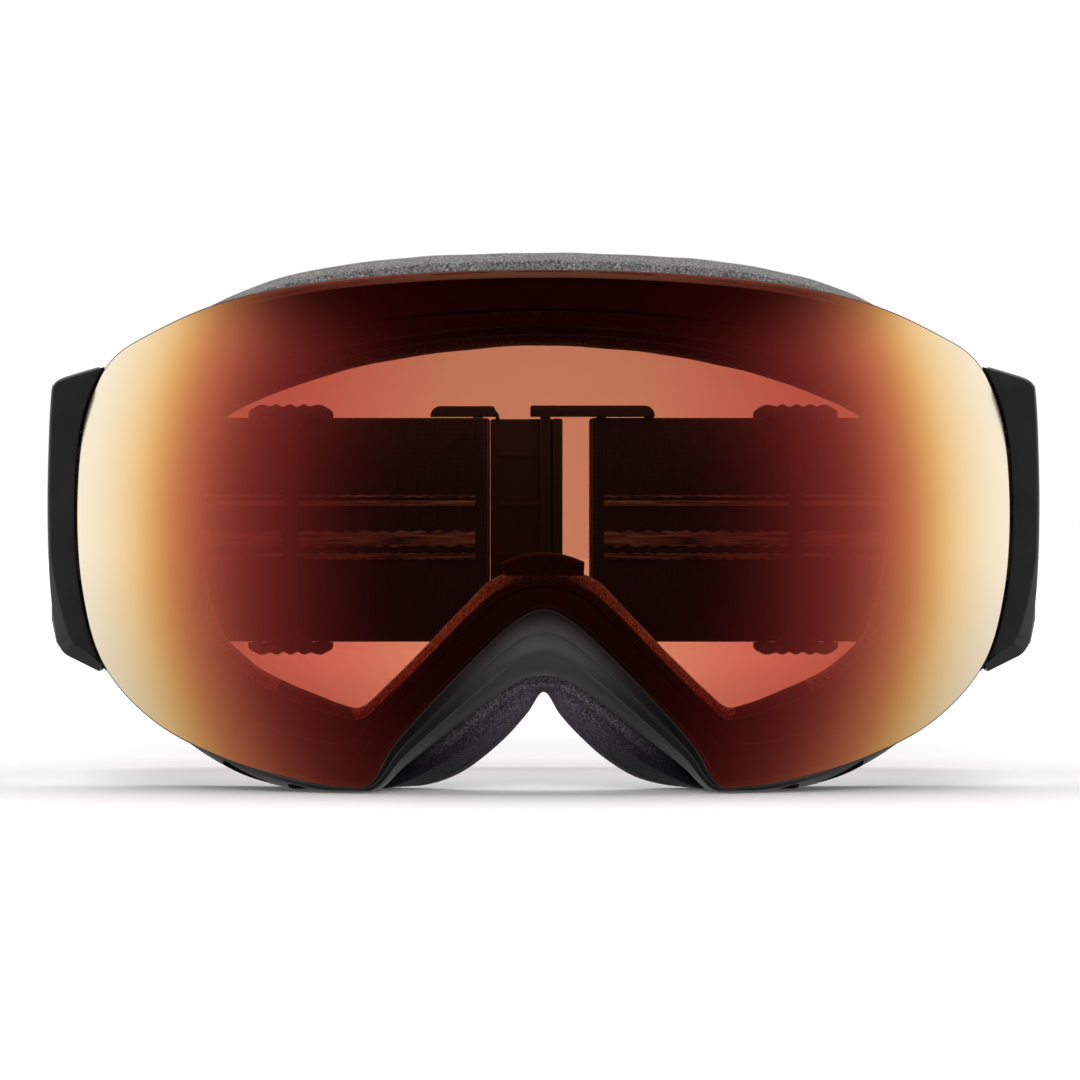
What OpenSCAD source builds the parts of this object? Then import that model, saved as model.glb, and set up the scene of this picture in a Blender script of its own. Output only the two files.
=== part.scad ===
// Ski goggles with a magnetic spherical double lens, layered face foam, pivoting outriggers
// and an elastic strap with two sliders and a clip. Millimetres. The origin is on the surface the
// goggles stand on, under the middle of their box: X to the right, Y from lens to strap, Z up.

/* [Lens] */
// Width of the outer lens, edge to edge
lens_w = 170; // [160:1:180]
// Height of the outer lens
lens_h = 92.4; // [88:0.2:96]
// Radius of the outer lens's front surface
lens_r = 112; // [110:1:120]
// Thickness of the outer lens
outer_lens_t = 1.8; // [1.4:0.1:2.2]
// Thickness of the inner lens
inner_lens_t = 0.8; // [0.6:0.1:1.2]
// Thickness of the foam gasket between the two lenses
gasket_t = 2.5; // [2:0.1:3.5]

/* [Frame and foam] */
// Thickness of the frame's front flange
flange_t = 2; // [1.6:0.1:2.4]
// Thickness of each of the two lower foam layers
foam_layer_t = 4.2; // [3:0.1:5]
// Thickness of the fleece-faced foam layer
fleece_t = 3.4; // [2.5:0.1:4]
// Depth from the lens's front to the foam's back at the middle of the forehead
face_depth = 46; // [44:1:50]

/* [Strap] */
// Width of the strap's webbing
strap_w = 45; // [43:0.5:45]
// Thickness of the webbing
strap_t = 1.3; // [1:0.1:1.4]
// Depth from the lens's front to the strap at the back
strap_back = 168; // [160:1:190]
// How far the strap droops towards the back, in degrees
strap_droop = 1.5; // [0:0.5:2]

/* [Hidden] */

// Outlines seen from the front, right half from the top middle round to the nose, as x and height.
// All five have matching points, so that a station on one is opposite the same one on the others.
LENS_EDGE = [[0, 93.2], [22, 92.7], [42, 91.1], [58, 87.9], [70.5, 82.9], [79, 77.4], [83.6, 67],
    [85, 52], [84, 36], [80, 22.5], [70.5, 12.3], [57.5, 5.8], [44, 2.1], [35, 0.9], [30.6, 1.8],
    [26.6, 8.4], [19, 17], [10, 26.2], [4.4, 31], [0, 32.7]];
SEAT_EDGE = [[0, 83.2], [18, 82.2], [34.5, 79.9], [49, 76.3], [60.5, 71.6], [67.5, 66.6], [70.5, 59.5],
    [71.5, 51.5], [70.5, 38.5], [67, 25.5], [60, 17.5], [52.5, 12.8], [45, 10.2], [38.5, 8.9],
    [33.6, 9.8], [28.3, 16.4], [20.6, 24.4], [13.2, 32], [7.2, 36.9], [0, 38.6]];
FACE_OPENING = [[0, 80.3], [17, 79.2], [32, 76.7], [45, 73.2], [55, 69.2], [60, 65.4], [62, 58.7],
    [62.6, 51.5], [61.8, 40], [59, 29.2], [54, 23.6], [48, 20], [42, 17.4], [37, 15.6], [33.3, 15.1],
    [29, 18.8], [21, 26.8], [14.3, 33.9], [9, 38.8], [0, 40.8]];
FRAME_REAR = [[0, 93.6], [21, 93], [40, 91.2], [55, 87.6], [67, 82.2], [75.5, 75.5], [80, 65.5],
    [81.5, 51], [80.5, 36], [76.5, 22.5], [68, 10.8], [56.5, 3.3], [45, 0], [36, -0.6], [30, 0],
    [25, 4.6], [17, 11], [9, 17.2], [4, 20.6], [0, 21.5]];
FOAM_EDGE = [[0, 97.6], [21, 97], [40, 95.1], [55, 91.2], [67.5, 84.8], [76, 77], [80.5, 66], [82, 51],
    [81, 36], [77, 22], [68.5, 10.8], [57, 3.6], [45, 0.5], [35, 0], [27.5, 0], [20.5, 0.7], [14, 3.4],
    [7.5, 8.6], [3, 13.6], [0, 17.6]];
// Size that the outlines are drawn at
DRAWN_W = 170;
DRAWN_H = 92.4;
// Stations between two points of an outline
STEPS = 3;

// Height of the lens's apex, and radial offsets behind the lens's front surface
lens_z = 47 * lens_h / DRAWN_H;
inner_off = outer_lens_t + gasket_t;
seat_off = inner_off + inner_lens_t;
seat_gap = 0.2;
flange_off = seat_off + seat_gap;
flange_back = flange_off + flange_t;
// Shares of the way from the lens's edge to the seat's edge
overhang_k = 0.2;
carrier_k = 0.7;
gasket_k = 0.74;
// Share of the way from the frame's rear edge to the face opening
rear_lip_k = 0.85;
wall_k = 0.13;
rear_flange_t = 1.8;
foam_gap = 0.05;
foam_t = 2 * foam_layer_t + fleece_t;

// Outrigger hinge, seen from above, and its height range
hinge = [87.2, 57];
hinge_r = 2.6;
hinge_pin_r = 1.1;
running_gap = 0.05;
KNUCKLES = [[28.2, 34.8], [65.2, 71.8]];
lug_t = 3;
arm_t = 2.8;
slab_x = 84.2;
slab_y = [45, 56.6];
housing_y = [41, 54.2];
// Release lever pivot, as depth and height
lever_pivot = [48.2, 50];
lever_pin_r = 0.9;
// Strap bars, as x and depth, and the clearances round them
arm_bar = [88.97, 82.4];
arm_bar_r = 1.2;
bar_r = 1;
fold_gap = 0.2;
strap_z = 49.5;
corner_x = 56;
side_x = 90.15;
strap_y = strap_back + strap_t / 2;
fold_r = bar_r + fold_gap + strap_t / 2;
bar_y = strap_y + fold_r;
ring_bar_x = 11.7;
hook_bar_x = -13.15;
// Slider bars, as distance from the middle bar
slider_x = 50.8;
slider_pitch = 6.6;
slider_half = 8.5;
grip_w = 13;
grip_t = 0.4;
tail_bar_y = strap_back + strap_t + fold_gap + strap_t + fold_gap + bar_r;
rail = [strap_w / 2 + 0.25, strap_w / 2 + 2.4];
tail_y = tail_bar_y + fold_r;
// Half of the model's depth, which puts the origin under the middle of the box
strap_reach = (tail_y + strap_t / 2 - arm_bar.y) * cos(strap_droop) + strap_w / 2 * sin(strap_droop);
origin_y = (arm_bar.y + strap_reach) / 2;

MAGNETS = [2.5, 7.2, 10.5];
magnet_r = 1.8;
magnet_t = 1.6;
VENT_X = [0, 15, 30, 45];
BOTTOM_VENT_X = [42, 54];

// ---- curves ----
function mix(a, b, k) = a + (b - a) * k;
function scaled(half) = [for (p = half) [p.x * lens_w / DRAWN_W, p.y * lens_h / DRAWN_H]];
function whole(half) = concat(half, [for (i = [len(half) - 2:-1:1]) [-half[i].x, half[i].y]]);
function curve_at(a, b, c, d, u) =
    (2 * b + (c - a) * u + (2 * a - 5 * b + 4 * c - d) * u * u + (3 * b - a - 3 * c + d) * u * u * u) / 2;
function smoothed(loop, n) = let (m = len(loop)) [for (i = [0:m - 1], j = [0:n - 1])
    curve_at(loop[(i + m - 1) % m], loop[i], loop[(i + 1) % m], loop[(i + 2) % m], j / n)];
function outline(half) = smoothed(whole(scaled(half)), STEPS);
function between(a, b, k) = [for (i = [0:len(a) - 1]) mix(a[i], b[i], k)];
function arc(centre, r, from, to, n) =
    [for (i = [0:n]) let (a = mix(from, to, i / n)) centre + r * [cos(a), sin(a)]];

lens_edge = outline(LENS_EDGE);
seat_edge = outline(SEAT_EDGE);
face_opening = outline(FACE_OPENING);
frame_rear = outline(FRAME_REAR);
foam_edge = outline(FOAM_EDGE);
stations = len(lens_edge);

// Depth of the sphere that lies off behind the lens's front surface
function lens_y(p, off) = lens_r - sqrt(pow(lens_r - off, 2) - pow(p.x, 2) - pow(p.y - lens_z, 2));
// Depth of the foam's back, which follows the brow and comes forward over the nose
function nose_share(p) = exp(-pow(p.x / 18, 2)) * min(1, max(0, (50 - p.y) / 26));
function face_y(p) = face_depth + pow(p.x, 2) / 256 - 9 * nose_share(p);
function rear_y(p) = face_y(p) - foam_t;

function on_lens(loop, off) = [for (p = loop) [p.x, lens_y(p, off), p.y]];
function on_rear(loop, back) = [for (p = loop) [p.x, rear_y(p) + back, p.y]];

// Ring through rows of points, all with one point per station
module ring(rows) {
    m = len(rows);
    n = len(rows[0]);
    points = [for (i = [0:n - 1], j = [0:m - 1]) rows[j][i]];
    faces = [for (i = [0:n - 1], j = [0:m - 1])
        let (a = i * m + j, b = i * m + (j + 1) % m, c = (i + 1) % n * m + (j + 1) % m, d = (i + 1) % n * m + j)
        for (f = [[a, b, c], [a, c, d]]) f];
    polyhedron(points, faces, convexity = 8);
}

// The same with ends, over the stations from first to last
module bar_along(rows, first, last) {
    m = len(rows);
    n = last - first + 1;
    points = [for (i = [first:last], j = [0:m - 1]) rows[j][(i + stations) % stations]];
    sides = [for (i = [0:n - 2], j = [0:m - 1])
        let (a = i * m + j, b = i * m + (j + 1) % m, c = (i + 1) * m + (j + 1) % m, d = (i + 1) * m + j)
        for (f = [[a, b, c], [a, c, d]]) f];
    caps = [[for (j = [m - 1:-1:0]) j], [for (j = [0:m - 1]) (n - 1) * m + j]];
    polyhedron(points, concat(sides, caps), convexity = 8);
}

// Flat ribbon of thickness t along a path seen from above, as tall as h
function normal_at(path, i) = let (
    a = path[max(0, i - 1)], b = path[min(len(path) - 1, i + 1)], d = (b - a) / norm(b - a)) [-d.y, d.x];
function side_of(path, off) = [for (i = [0:len(path) - 1]) path[i] + off * normal_at(path, i)];
function reversed(list) = [for (i = [len(list) - 1:-1:0]) list[i]];
module ribbon(path, t, h) {
    translate([0, 0, -h / 2]) linear_extrude(h)
        polygon(concat(side_of(path, t / 2), reversed(side_of(path, -t / 2))));
}

module mirrored(side) {
    if (side < 0) mirror([1, 0, 0]) children();
    else children();
}

// Everything on the strap droops together from the outriggers' bars
module strap_place() {
    translate([0, arm_bar.y, strap_z]) rotate([-strap_droop, 0, 0]) translate([0, -arm_bar.y, 0]) children();
}

// ---- lens ----
module lens_shell(edge, off, t) {
    intersection() {
        translate([0, lens_r, lens_z]) difference() {
            sphere(lens_r - off, $fn = 160);
            sphere(lens_r - off - t, $fn = 160);
        }
        translate([0, lens_r * 0.6, 0]) rotate([90, 0, 0]) linear_extrude(lens_r * 0.8) polygon(edge);
    }
}

module outer_lens() {
    color("#c8552f") lens_shell(lens_edge, 0, outer_lens_t);
}

module inner_lens() {
    color("#e8b090") lens_shell(between(lens_edge, seat_edge, gasket_k + 0.02), inner_off, inner_lens_t);
}

module lens_band(from_k, to_k, front, back) {
    outer = between(lens_edge, seat_edge, from_k);
    inner = between(lens_edge, seat_edge, to_k);
    ring([on_lens(outer, front), on_lens(inner, front), on_lens(inner, back), on_lens(outer, back)]);
}

module lens_gasket() {
    color("#1d1d1d") lens_band(gasket_k, 0.98, outer_lens_t + 0.02, inner_off - 0.1);
}

module lens_carrier() {
    color("#141414") difference() {
        lens_band(overhang_k, carrier_k, outer_lens_t + 0.02, seat_off);
        magnet_discs(seat_off - magnet_t, magnet_t + 1, 0.15);
    }
}

// Discs square to the lens, at the middle of the carrier's band
module magnet_discs(off, t, extra) {
    band = between(lens_edge, seat_edge, (overhang_k + carrier_k) / 2);
    for (at = MAGNETS, side = [-1, 1]) {
        p = band[round(at * STEPS)];
        tilt = asin(norm([p.x, p.y - lens_z]) / (lens_r - seat_off));
        turn = atan2(p.y - lens_z, side * p.x);
        translate([0, lens_r, lens_z]) rotate([0, -turn, 0]) rotate([0, 0, -90 + tilt])
            translate([lens_r - off - t, 0, 0]) rotate([0, 90, 0]) cylinder(r = magnet_r + extra, h = t, $fn = 40);
    }
}

module carrier_magnets() {
    color("silver") magnet_discs(seat_off - magnet_t + 0.1, magnet_t - 0.15, 0);
}

module frame_magnets() {
    color("silver") magnet_discs(flange_off + 0.05, magnet_t - 0.15, 0);
}

// ---- frame ----
module frame_ring() {
    front = between(lens_edge, seat_edge, overhang_k);
    front_in = between(lens_edge, seat_edge, overhang_k + wall_k + 0.04);
    bulge = between(front, frame_rear, 0.9);
    bulge_in = between(bulge, face_opening, wall_k);
    rear_in = between(frame_rear, face_opening, wall_k);
    lip = between(frame_rear, face_opening, rear_lip_k);
    outer_mid = [for (i = [0:stations - 1]) let (p = bulge[i])
        [p.x, mix(lens_y(front[i], flange_off), rear_y(frame_rear[i]), 0.45), p.y]];
    inner_mid = [for (i = [0:stations - 1]) let (p = bulge_in[i]) [p.x, outer_mid[i].y, p.y]];
    ring([on_lens(front, flange_off), on_lens(seat_edge, flange_off), on_lens(seat_edge, flange_back),
        on_lens(front_in, flange_back), inner_mid, on_rear(rear_in, -rear_flange_t),
        on_rear(lip, -rear_flange_t), on_rear(lip, 0), on_rear(between(lip, frame_rear, 0.4), 0),
        on_rear(between(lip, frame_rear, 0.7), 0), on_rear(frame_rear, 0), outer_mid]);
}

// Middle of the frame's outer wall at a station, where the vents are
function wall_mid_y(i) = mix(lens_y(between(lens_edge, seat_edge, overhang_k)[i], flange_back),
    rear_y(frame_rear[i]) - rear_flange_t, 0.5);
function nearest_station(x, top) = let (
    found = [for (i = [0:stations - 1]) if ((frame_rear[i].y > 50) == top && frame_rear[i].x >= 0) i],
    gaps = [for (i = found) abs(frame_rear[i].x - x)]) found[search(min(gaps), gaps)[0]];

module vent_slots() {
    for (side = [-1, 1], x = VENT_X) {
        i = nearest_station(x, true);
        if (x > 0 || side > 0)
            translate([side * x, wall_mid_y(i), frame_rear[i].y]) cube([10.5, 6.5, 9], center = true);
    }
    for (side = [-1, 1], x = BOTTOM_VENT_X) {
        i = nearest_station(x, false);
        translate([side * x, wall_mid_y(i) + 0.5, frame_rear[i].y]) cube([8.5, 5.5, 7], center = true);
    }
}

// Cuts what it is given flat where the goggles stand
module standing() {
    difference() {
        children();
        translate([-lens_w, -50, -50]) cube([2 * lens_w, 200, 50]);
    }
}

module frame_body() {
    color("#242426") standing() difference() {
        frame_ring();
        vent_slots();
        magnet_discs(flange_off - 1, magnet_t + 1, 0.15);
    }
}

// Soft pad over the nose bridge, behind the lens
module nose_bridge_pad() {
    pad_w = 14.8;
    pad_top = 43;
    pad_drop = 1.7;
    pad_foot = 38.75;
    top = [for (i = [-8:8]) let (x = i / 16 * pad_w) [x, pad_top - pad_drop * pow(2 * x / pad_w, 2)]];
    color("#1b1716") translate([0, 24.5, 0]) rotate([90, 0, 0]) linear_extrude(16)
        polygon(concat([[-pad_w / 2, pad_foot]], top, [[pad_w / 2, pad_foot]]));
}

// ---- foam ----
// Layer between two depths behind the frame, with its outer edge at two shares of the way to foam_edge.
// Every row of its front has one opposite it on the back of the layer before, so that they lie together.
module foam_ring(from_k, to_k, from_y, to_y, crown) {
    low = between(frame_rear, foam_edge, from_k);
    high = between(frame_rear, foam_edge, to_k);
    inner = between(frame_rear, face_opening, 0.97);
    steps = [1 / 3, 2 / 3];
    ring([on_rear(low, from_y), for (k = steps) on_rear(between(low, inner, k), from_y), on_rear(inner, from_y),
        on_rear(inner, to_y), for (k = steps) on_rear(between(inner, high, k), to_y + crown), on_rear(high, to_y)]);
}

module foam_base() {
    color("#3a3a3d") standing() foam_ring(0.55, 0.9, foam_gap, foam_layer_t, 0);
}

module foam_middle() {
    color("#55555a") standing() foam_ring(0.9, 1, foam_layer_t + foam_gap, 2 * foam_layer_t, 0);
}

module face_fleece() {
    color("#8c8c90") standing() foam_ring(1, 0.8, 2 * foam_layer_t + foam_gap, foam_t - 0.8, 0.8);
}

// Thin foam behind the frame's vents, over a stretch of stations
module vent_foam(first, last) {
    outer = between(frame_rear, face_opening, 0.31);
    inner = between(frame_rear, face_opening, 0.45);
    half = 4;
    function row(loop, side) = [for (p = loop)
        [p.x, mix(lens_y(p, flange_back), rear_y(p) - rear_flange_t, 0.5) + side * half, p.y]];
    bar_along([row(outer, -1), row(inner, -1), row(inner, 1), row(outer, 1)], first, last);
}

module vent_foam_top() {
    reach = round(3.4 * STEPS);
    color("#303034") vent_foam(-reach, reach);
}

module vent_foam_bottom() {
    first = round(10.4 * STEPS);
    last = round(12.6 * STEPS);
    color("#303034") {
        vent_foam(first, last);
        vent_foam(stations - last, stations - first);
    }
}

// ---- temple plate, release lever and outrigger, drawn on the right ----
module pin_x(r, from, to) {
    translate([from, lever_pivot.x, lever_pivot.y]) rotate([0, 90, 0]) cylinder(r = r, h = to - from, $fn = 40);
}

// Wall round the lever and the hinge, beside the lens: open at the back, with a window for the thumb
module housing() {
    outer = [[82, 76.5], [88.2, 74.6], [89.6, 73.2], [90.3, 63], [90.5, 51], [90.1, 38], [88.9, 26.6],
        [87.6, 24.4], [82, 21.5]];
    inner = [[70, 75], [87.8, 73.2], [88.7, 72.4], [89.4, 71], [90, 62], [90, 36], [88.6, 28.4], [86.9, 25.9], [70, 22.9]];
    window = [[44.5, 52.8], [42, 63]];
    toe_room = [7.2, 2, 6];
    difference() {
        facing_front(outer, housing_y);
        facing_front(inner, [housing_y[0] + 1.4, housing_y[1] + 1]);
        facing_front(between(lens_edge, seat_edge, -0.04), [-1, slab_y[0]]);
        translate([88, window.x[0], window.y[0]]) cube([5, window.x[1] - window.x[0], window.y[1] - window.y[0]]);
        translate([80, housing_y[0] + 0.6, 40]) cube(toe_room);
    }
}

// Outline seen from the front, given thickness between two depths
module facing_front(shape, depths) {
    translate([0, depths[1], 0]) rotate([90, 0, 0]) linear_extrude(depths[1] - depths[0]) polygon(shape);
}

module temple_plate(side) {
    slab = [[slab_x, 76.8], [76, 76.8], [79.3, 66], [80.8, 51], [79.8, 36], [76, 21.4], [slab_x, 21.4]];
    color("#1a1a1c") mirrored(side) difference() {
        union() {
            housing();
            facing_front(slab, slab_y);
            for (k = KNUCKLES, z = [k[0] - lug_t - 0.2, k[1] + 0.2]) translate([0, 0, z]) {
                translate([hinge.x, hinge.y, 0]) cylinder(r = hinge_r, h = lug_t, $fn = 48);
                translate([slab_x - 1, hinge.y - hinge_r, 0]) cube([hinge.x - slab_x + 1, 2 * hinge_r, lug_t]);
            }
        }
        for (k = KNUCKLES) translate([hinge.x, hinge.y, k[0] - 10])
            cylinder(r = hinge_pin_r + running_gap, h = 30, $fn = 40);
        pin_x(lever_pin_r + running_gap, 82.5, slab_x + 1);
    }
}

module outrigger_pins(side) {
    color("silver") mirrored(side) for (k = KNUCKLES) translate([hinge.x, hinge.y, k[0] - lug_t - 0.2])
        cylinder(r = hinge_pin_r, h = k[1] - k[0] + 2 * lug_t + 0.4, $fn = 40);
}

module lever_pin(side) {
    color("silver") mirrored(side) {
        pin_x(lever_pin_r, 82.6, 87);
        pin_x(1.7, 87, 87.7);
    }
}

// Thumb tab above the pivot, toe below and in front of it, behind the lens's overhanging edge
module release_lever(side) {
    plate_x = [84.5, 86.6];
    plate = [[45.7, 61], [50.3, 61], [51, 50], [49.5, 46.5], [45.6, 41.4], [42.8, 41.4], [42.8, 44], [45.2, 47.5]];
    color("#2b2b2d") mirrored(side) difference() {
        union() {
            translate([plate_x[0], 0, 0]) rotate([90, 0, 90]) linear_extrude(plate_x[1] - plate_x[0]) polygon(plate);
            translate([82.8, 42.8, 41.4]) cube([2, 1.7, 2.6]);
            for (z = [57.4, 58.8, 60.2]) translate([plate_x[1] - 0.2, 45.9, z]) cube([0.8, 4.2, 0.8]);
        }
        pin_x(lever_pin_r + running_gap, 80, 90);
    }
}

// Leaf that pushes the thumb tab forward again
module lever_spring(side) {
    leaf = concat([[53.3, 53.4], [53.3, 56]], [[52.4, 58.5], [50.9, 60.6]]);
    color("silver") mirrored(side) translate([slab_x, 0, 0]) rotate([90, 0, 90]) linear_extrude(1.6)
        polygon(concat(side_of(leaf, 0.2), reversed(side_of(leaf, -0.2))));
}

module outrigger(side) {
    path = smoothed_path([[88.2, 58], [89, 59.8], [89.8, 63], [90.05, 69], [89.7, 76], [88.85, 84.5]], 5);
    height = [[53, 20.6], [53, 77.2], [58.5, 75.4], [62, 74.3], [82.5, 74.1], [84.1, 72.4], [84.1, 26.6],
        [82.5, 24.9], [62, 24.7], [58.5, 23]];
    slot_z = strap_w + 0.5;
    color("#18181a") mirrored(side) difference() {
        union() {
            difference() {
                intersection() {
                    linear_extrude(100) polygon(concat(side_of(path, arm_t / 2), reversed(side_of(path, -arm_t / 2))));
                    rotate([90, 0, 90]) linear_extrude(120) polygon(height);
                }
                translate([hinge.x, hinge.y, 0]) cylinder(r = hinge_r + 0.4, h = 100, $fn = 48);
                strap_place() translate([80, 77, -slot_z / 2]) cube([20, 20, slot_z]);
            }
            strap_place() rod_z(arm_bar.x, arm_bar.y, arm_bar_r, slot_z / 2 + 0.5);
            for (k = KNUCKLES) translate([hinge.x, hinge.y, k[0]]) {
                cylinder(r = hinge_r, h = k[1] - k[0], $fn = 48);
                rotate([0, 0, 70]) translate([1.8, -1.2, 0]) cube([2.6, 2.4, k[1] - k[0]]);
            }
        }
        for (k = KNUCKLES) translate([hinge.x, hinge.y, k[0] - 10])
            cylinder(r = hinge_pin_r + running_gap, h = 30, $fn = 40);
    }
}

function smoothed_path(path, n) = let (m = len(path) - 1) concat([for (i = [0:m - 1], j = [0:n - 1])
    curve_at(path[max(0, i - 1)], path[i], path[i + 1], path[min(m, i + 2)], j / n)], [path[m]]);

// ---- strap ----
loop_r = arm_bar_r + fold_gap + strap_t / 2;
strap_start = 98.2;
strap_path = concat([[side_x, strap_start], [side_x, 110]], arc([corner_x, strap_y - side_x + corner_x],
    side_x - corner_x, 0, 90, 14), [[40, strap_y], [25, strap_y]]);

module strap_loop(side) {
    path = concat([[side_x - strap_t - 0.2, 97.4], [87.2, 90]], arc(arm_bar, loop_r, 180, 360, 12),
        [[91, 90], [side_x, 97.4]]);
    color("#101012") mirrored(side) strap_place() ribbon(path, strap_t, strap_w);
}

// The long run, and its fold round the clip's bar
module strap(side, bar_x) {
    path = concat(strap_path, [[bar_x + 4, strap_y]], arc([bar_x, bar_y], fold_r, -90, -270, 12), [[bar_x + 1, bar_y + fold_r]]);
    color("#101012") mirrored(side) strap_place() ribbon(path, strap_t, strap_w);
}

// The outer layer, from the clip's fold back to the slider's bar, round it and under itself
module strap_tail(side, bar_x) {
    bar = [slider_x - slider_pitch, tail_bar_y];
    path = concat([[bar_x + 1.1, bar_y + fold_r], [bar_x + 8, bar_y + fold_r + 0.1], [36, tail_y - 0.1]],
        arc(bar, fold_r, 90, -90, 12), [[36.5, tail_bar_y - fold_r]]);
    color("#101012") mirrored(side) strap_place() ribbon(path, strap_t, strap_w);
}

// Silicone on the side of the head, which stops the strap slipping on a helmet
module grip_strip(side, bar_x) {
    path = side_of(concat(strap_path, [[bar_x + 4, strap_y], [bar_x + 0.5, strap_y]]), (strap_t + grip_t) / 2 + 0.02);
    color("#3c3836") mirrored(side) strap_place() ribbon(path, grip_t, grip_w);
}

module rod_z(x, y, r, half) {
    translate([x, y, -half]) cylinder(r = r, h = 2 * half, $fn = 40);
}

// Three-bar slider: the middle bar on the head's side of the webbing, the outer two outside it
module slider(side) {
    inner_bar_r = bar_r + 0.2;
    inner_bar_y = strap_back - grip_t - 0.3 - inner_bar_r;
    outer_bar_y = strap_back + strap_t + fold_gap + bar_r;
    plan = [[-slider_half, tail_bar_y + 1], [-slider_half, tail_bar_y - 2.2], [-2.6, inner_bar_y - 1],
        [2.6, inner_bar_y - 1], [slider_half, outer_bar_y - 1], [slider_half, outer_bar_y + 1], [2, tail_bar_y + 0.6]];
    wave = [for (i = [-24:24]) let (x = i / 24 * slider_half, edge = 1 - pow(abs(i) / 24, 4))
        [x, rail[0] + 0.9 + 1.8 * sqrt(edge) + (abs(x) < 5.6 ? 0.28 * cos(x * 130) : 0)]];
    color("#161618") mirrored(side) strap_place() translate([slider_x, 0, 0]) {
        rod_z(0, inner_bar_y, inner_bar_r, rail[0] + 0.5);
        rod_z(-slider_pitch, tail_bar_y, bar_r, rail[0] + 0.5);
        rod_z(slider_pitch, outer_bar_y, bar_r, rail[0] + 0.5);
        for (up = [0, 1]) mirror([0, 0, up]) intersection() {
            translate([0, 0, rail[0]]) linear_extrude(5) polygon(plan);
            translate([0, strap_back + 20, 0]) rotate([90, 0, 0]) linear_extrude(40)
                polygon(concat([[slider_half, rail[0] - 1]], [[-slider_half, rail[0] - 1]], wave));
        }
    }
}

// Clip: a hook plate on the left half, which catches the free bar of a ring on the right half
lip_x = [1.9, 3.9];
catch_x = [-0.6, 1.5];
plate_y = [bar_y - 1, bar_y + 1];
catch_y = [bar_y - 3.55, bar_y - 1.55];

module buckle_hook() {
    ear_x = [-22.7, -9.6];
    color("#161618") strap_place() {
        rod_z(hook_bar_x, bar_y, bar_r, rail[0] + 0.5);
        translate([-10.2, plate_y[0], -strap_w / 2 + 0.2]) cube([lip_x[1] + 10.2, 2, strap_w - 0.4]);
        translate([lip_x[0], catch_y[0], -strap_w / 2 + 0.2]) cube([lip_x[1] - lip_x[0], plate_y[1] - catch_y[0], strap_w - 0.4]);
        for (up = [0, 1]) mirror([0, 0, up]) {
            translate([-10.2, plate_y[0], strap_w / 2 - 1]) cube([0.6, 2, 3.4]);
            translate([0, plate_y[1], 0]) rotate([90, 0, 0]) linear_extrude(2) polygon(concat(
                [[ear_x[1], rail[0]]], arc([ear_x[1] - 0.8, rail[1] - 0.8], 0.8, 0, 90, 4),
                arc([ear_x[0] + 2, rail[1] - 2], 2, 90, 180, 6), [[ear_x[0], rail[0]]]));
        }
    }
}

module buckle_ring() {
    rail_x = [-2.6, 22.4];
    color("#161618") strap_place() {
        rod_z(ring_bar_x, bar_y, bar_r, rail[0] + 0.5);
        rod_z(rail_x[1] - 1.1, bar_y - 0.1, bar_r, rail[0] + 0.5);
        translate([catch_x[0], catch_y[0], -rail[0] - 0.5]) cube([catch_x[1] - catch_x[0], 2, 2 * rail[0] + 1]);
        for (up = [0, 1]) mirror([0, 0, up]) translate([0, plate_y[1], 0]) rotate([90, 0, 0])
            linear_extrude(plate_y[1] - catch_y[0]) polygon(concat(
                [[rail_x[1], rail[0]]], arc([rail_x[1] - 2, rail[1] - 2], 2, 0, 90, 6),
                arc([rail_x[0] + 0.5, rail[1] - 0.5], 0.5, 90, 180, 4), [[rail_x[0], rail[0]]]));
    }
}

module shown(name) {
    translate([0, -origin_y, 0]) children();
}

shown("outer_lens") outer_lens();
shown("lens_gasket") lens_gasket();
shown("inner_lens") inner_lens();
shown("lens_carrier") lens_carrier();
shown("carrier_magnets") carrier_magnets();
shown("frame_body") frame_body();
shown("frame_magnets") frame_magnets();
shown("nose_bridge_pad") nose_bridge_pad();
shown("foam_base") foam_base();
shown("foam_middle") foam_middle();
shown("face_fleece") face_fleece();
shown("vent_foam_top") vent_foam_top();
shown("vent_foam_bottom") vent_foam_bottom();
for (side = [-1, 1]) {
    suffix = side < 0 ? "_left" : "_right";
    bar_x = side < 0 ? -hook_bar_x : ring_bar_x;
    shown(str("temple_plate", suffix)) temple_plate(side);
    shown(str("release_lever", suffix)) release_lever(side);
    shown(str("lever_pin", suffix)) lever_pin(side);
    shown(str("lever_spring", suffix)) lever_spring(side);
    shown(str("outrigger", suffix)) outrigger(side);
    shown(str("outrigger_pins", suffix)) outrigger_pins(side);
    shown(str("strap_loop", suffix)) strap_loop(side);
    shown(str("strap", suffix)) strap(side, bar_x);
    shown(str("strap_tail", suffix)) strap_tail(side, bar_x);
    shown(str("grip_strip", suffix)) grip_strip(side, bar_x);
    shown(str("slider", suffix)) slider(side);
}
shown("buckle_hook") buckle_hook();
shown("buckle_ring") buckle_ring();
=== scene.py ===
"""Looks for the ski goggles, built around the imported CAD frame.

Shapes are worked out in the part's own drawing units: millimetres, X to the right, depth from the
lens's apex to the strap, height above the surface the goggles stand on. placed() turns them into the
row frame's metres.
"""

import math

import bmesh
import bpy
import numpy as np
from mathutils import Matrix, Vector

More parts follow.
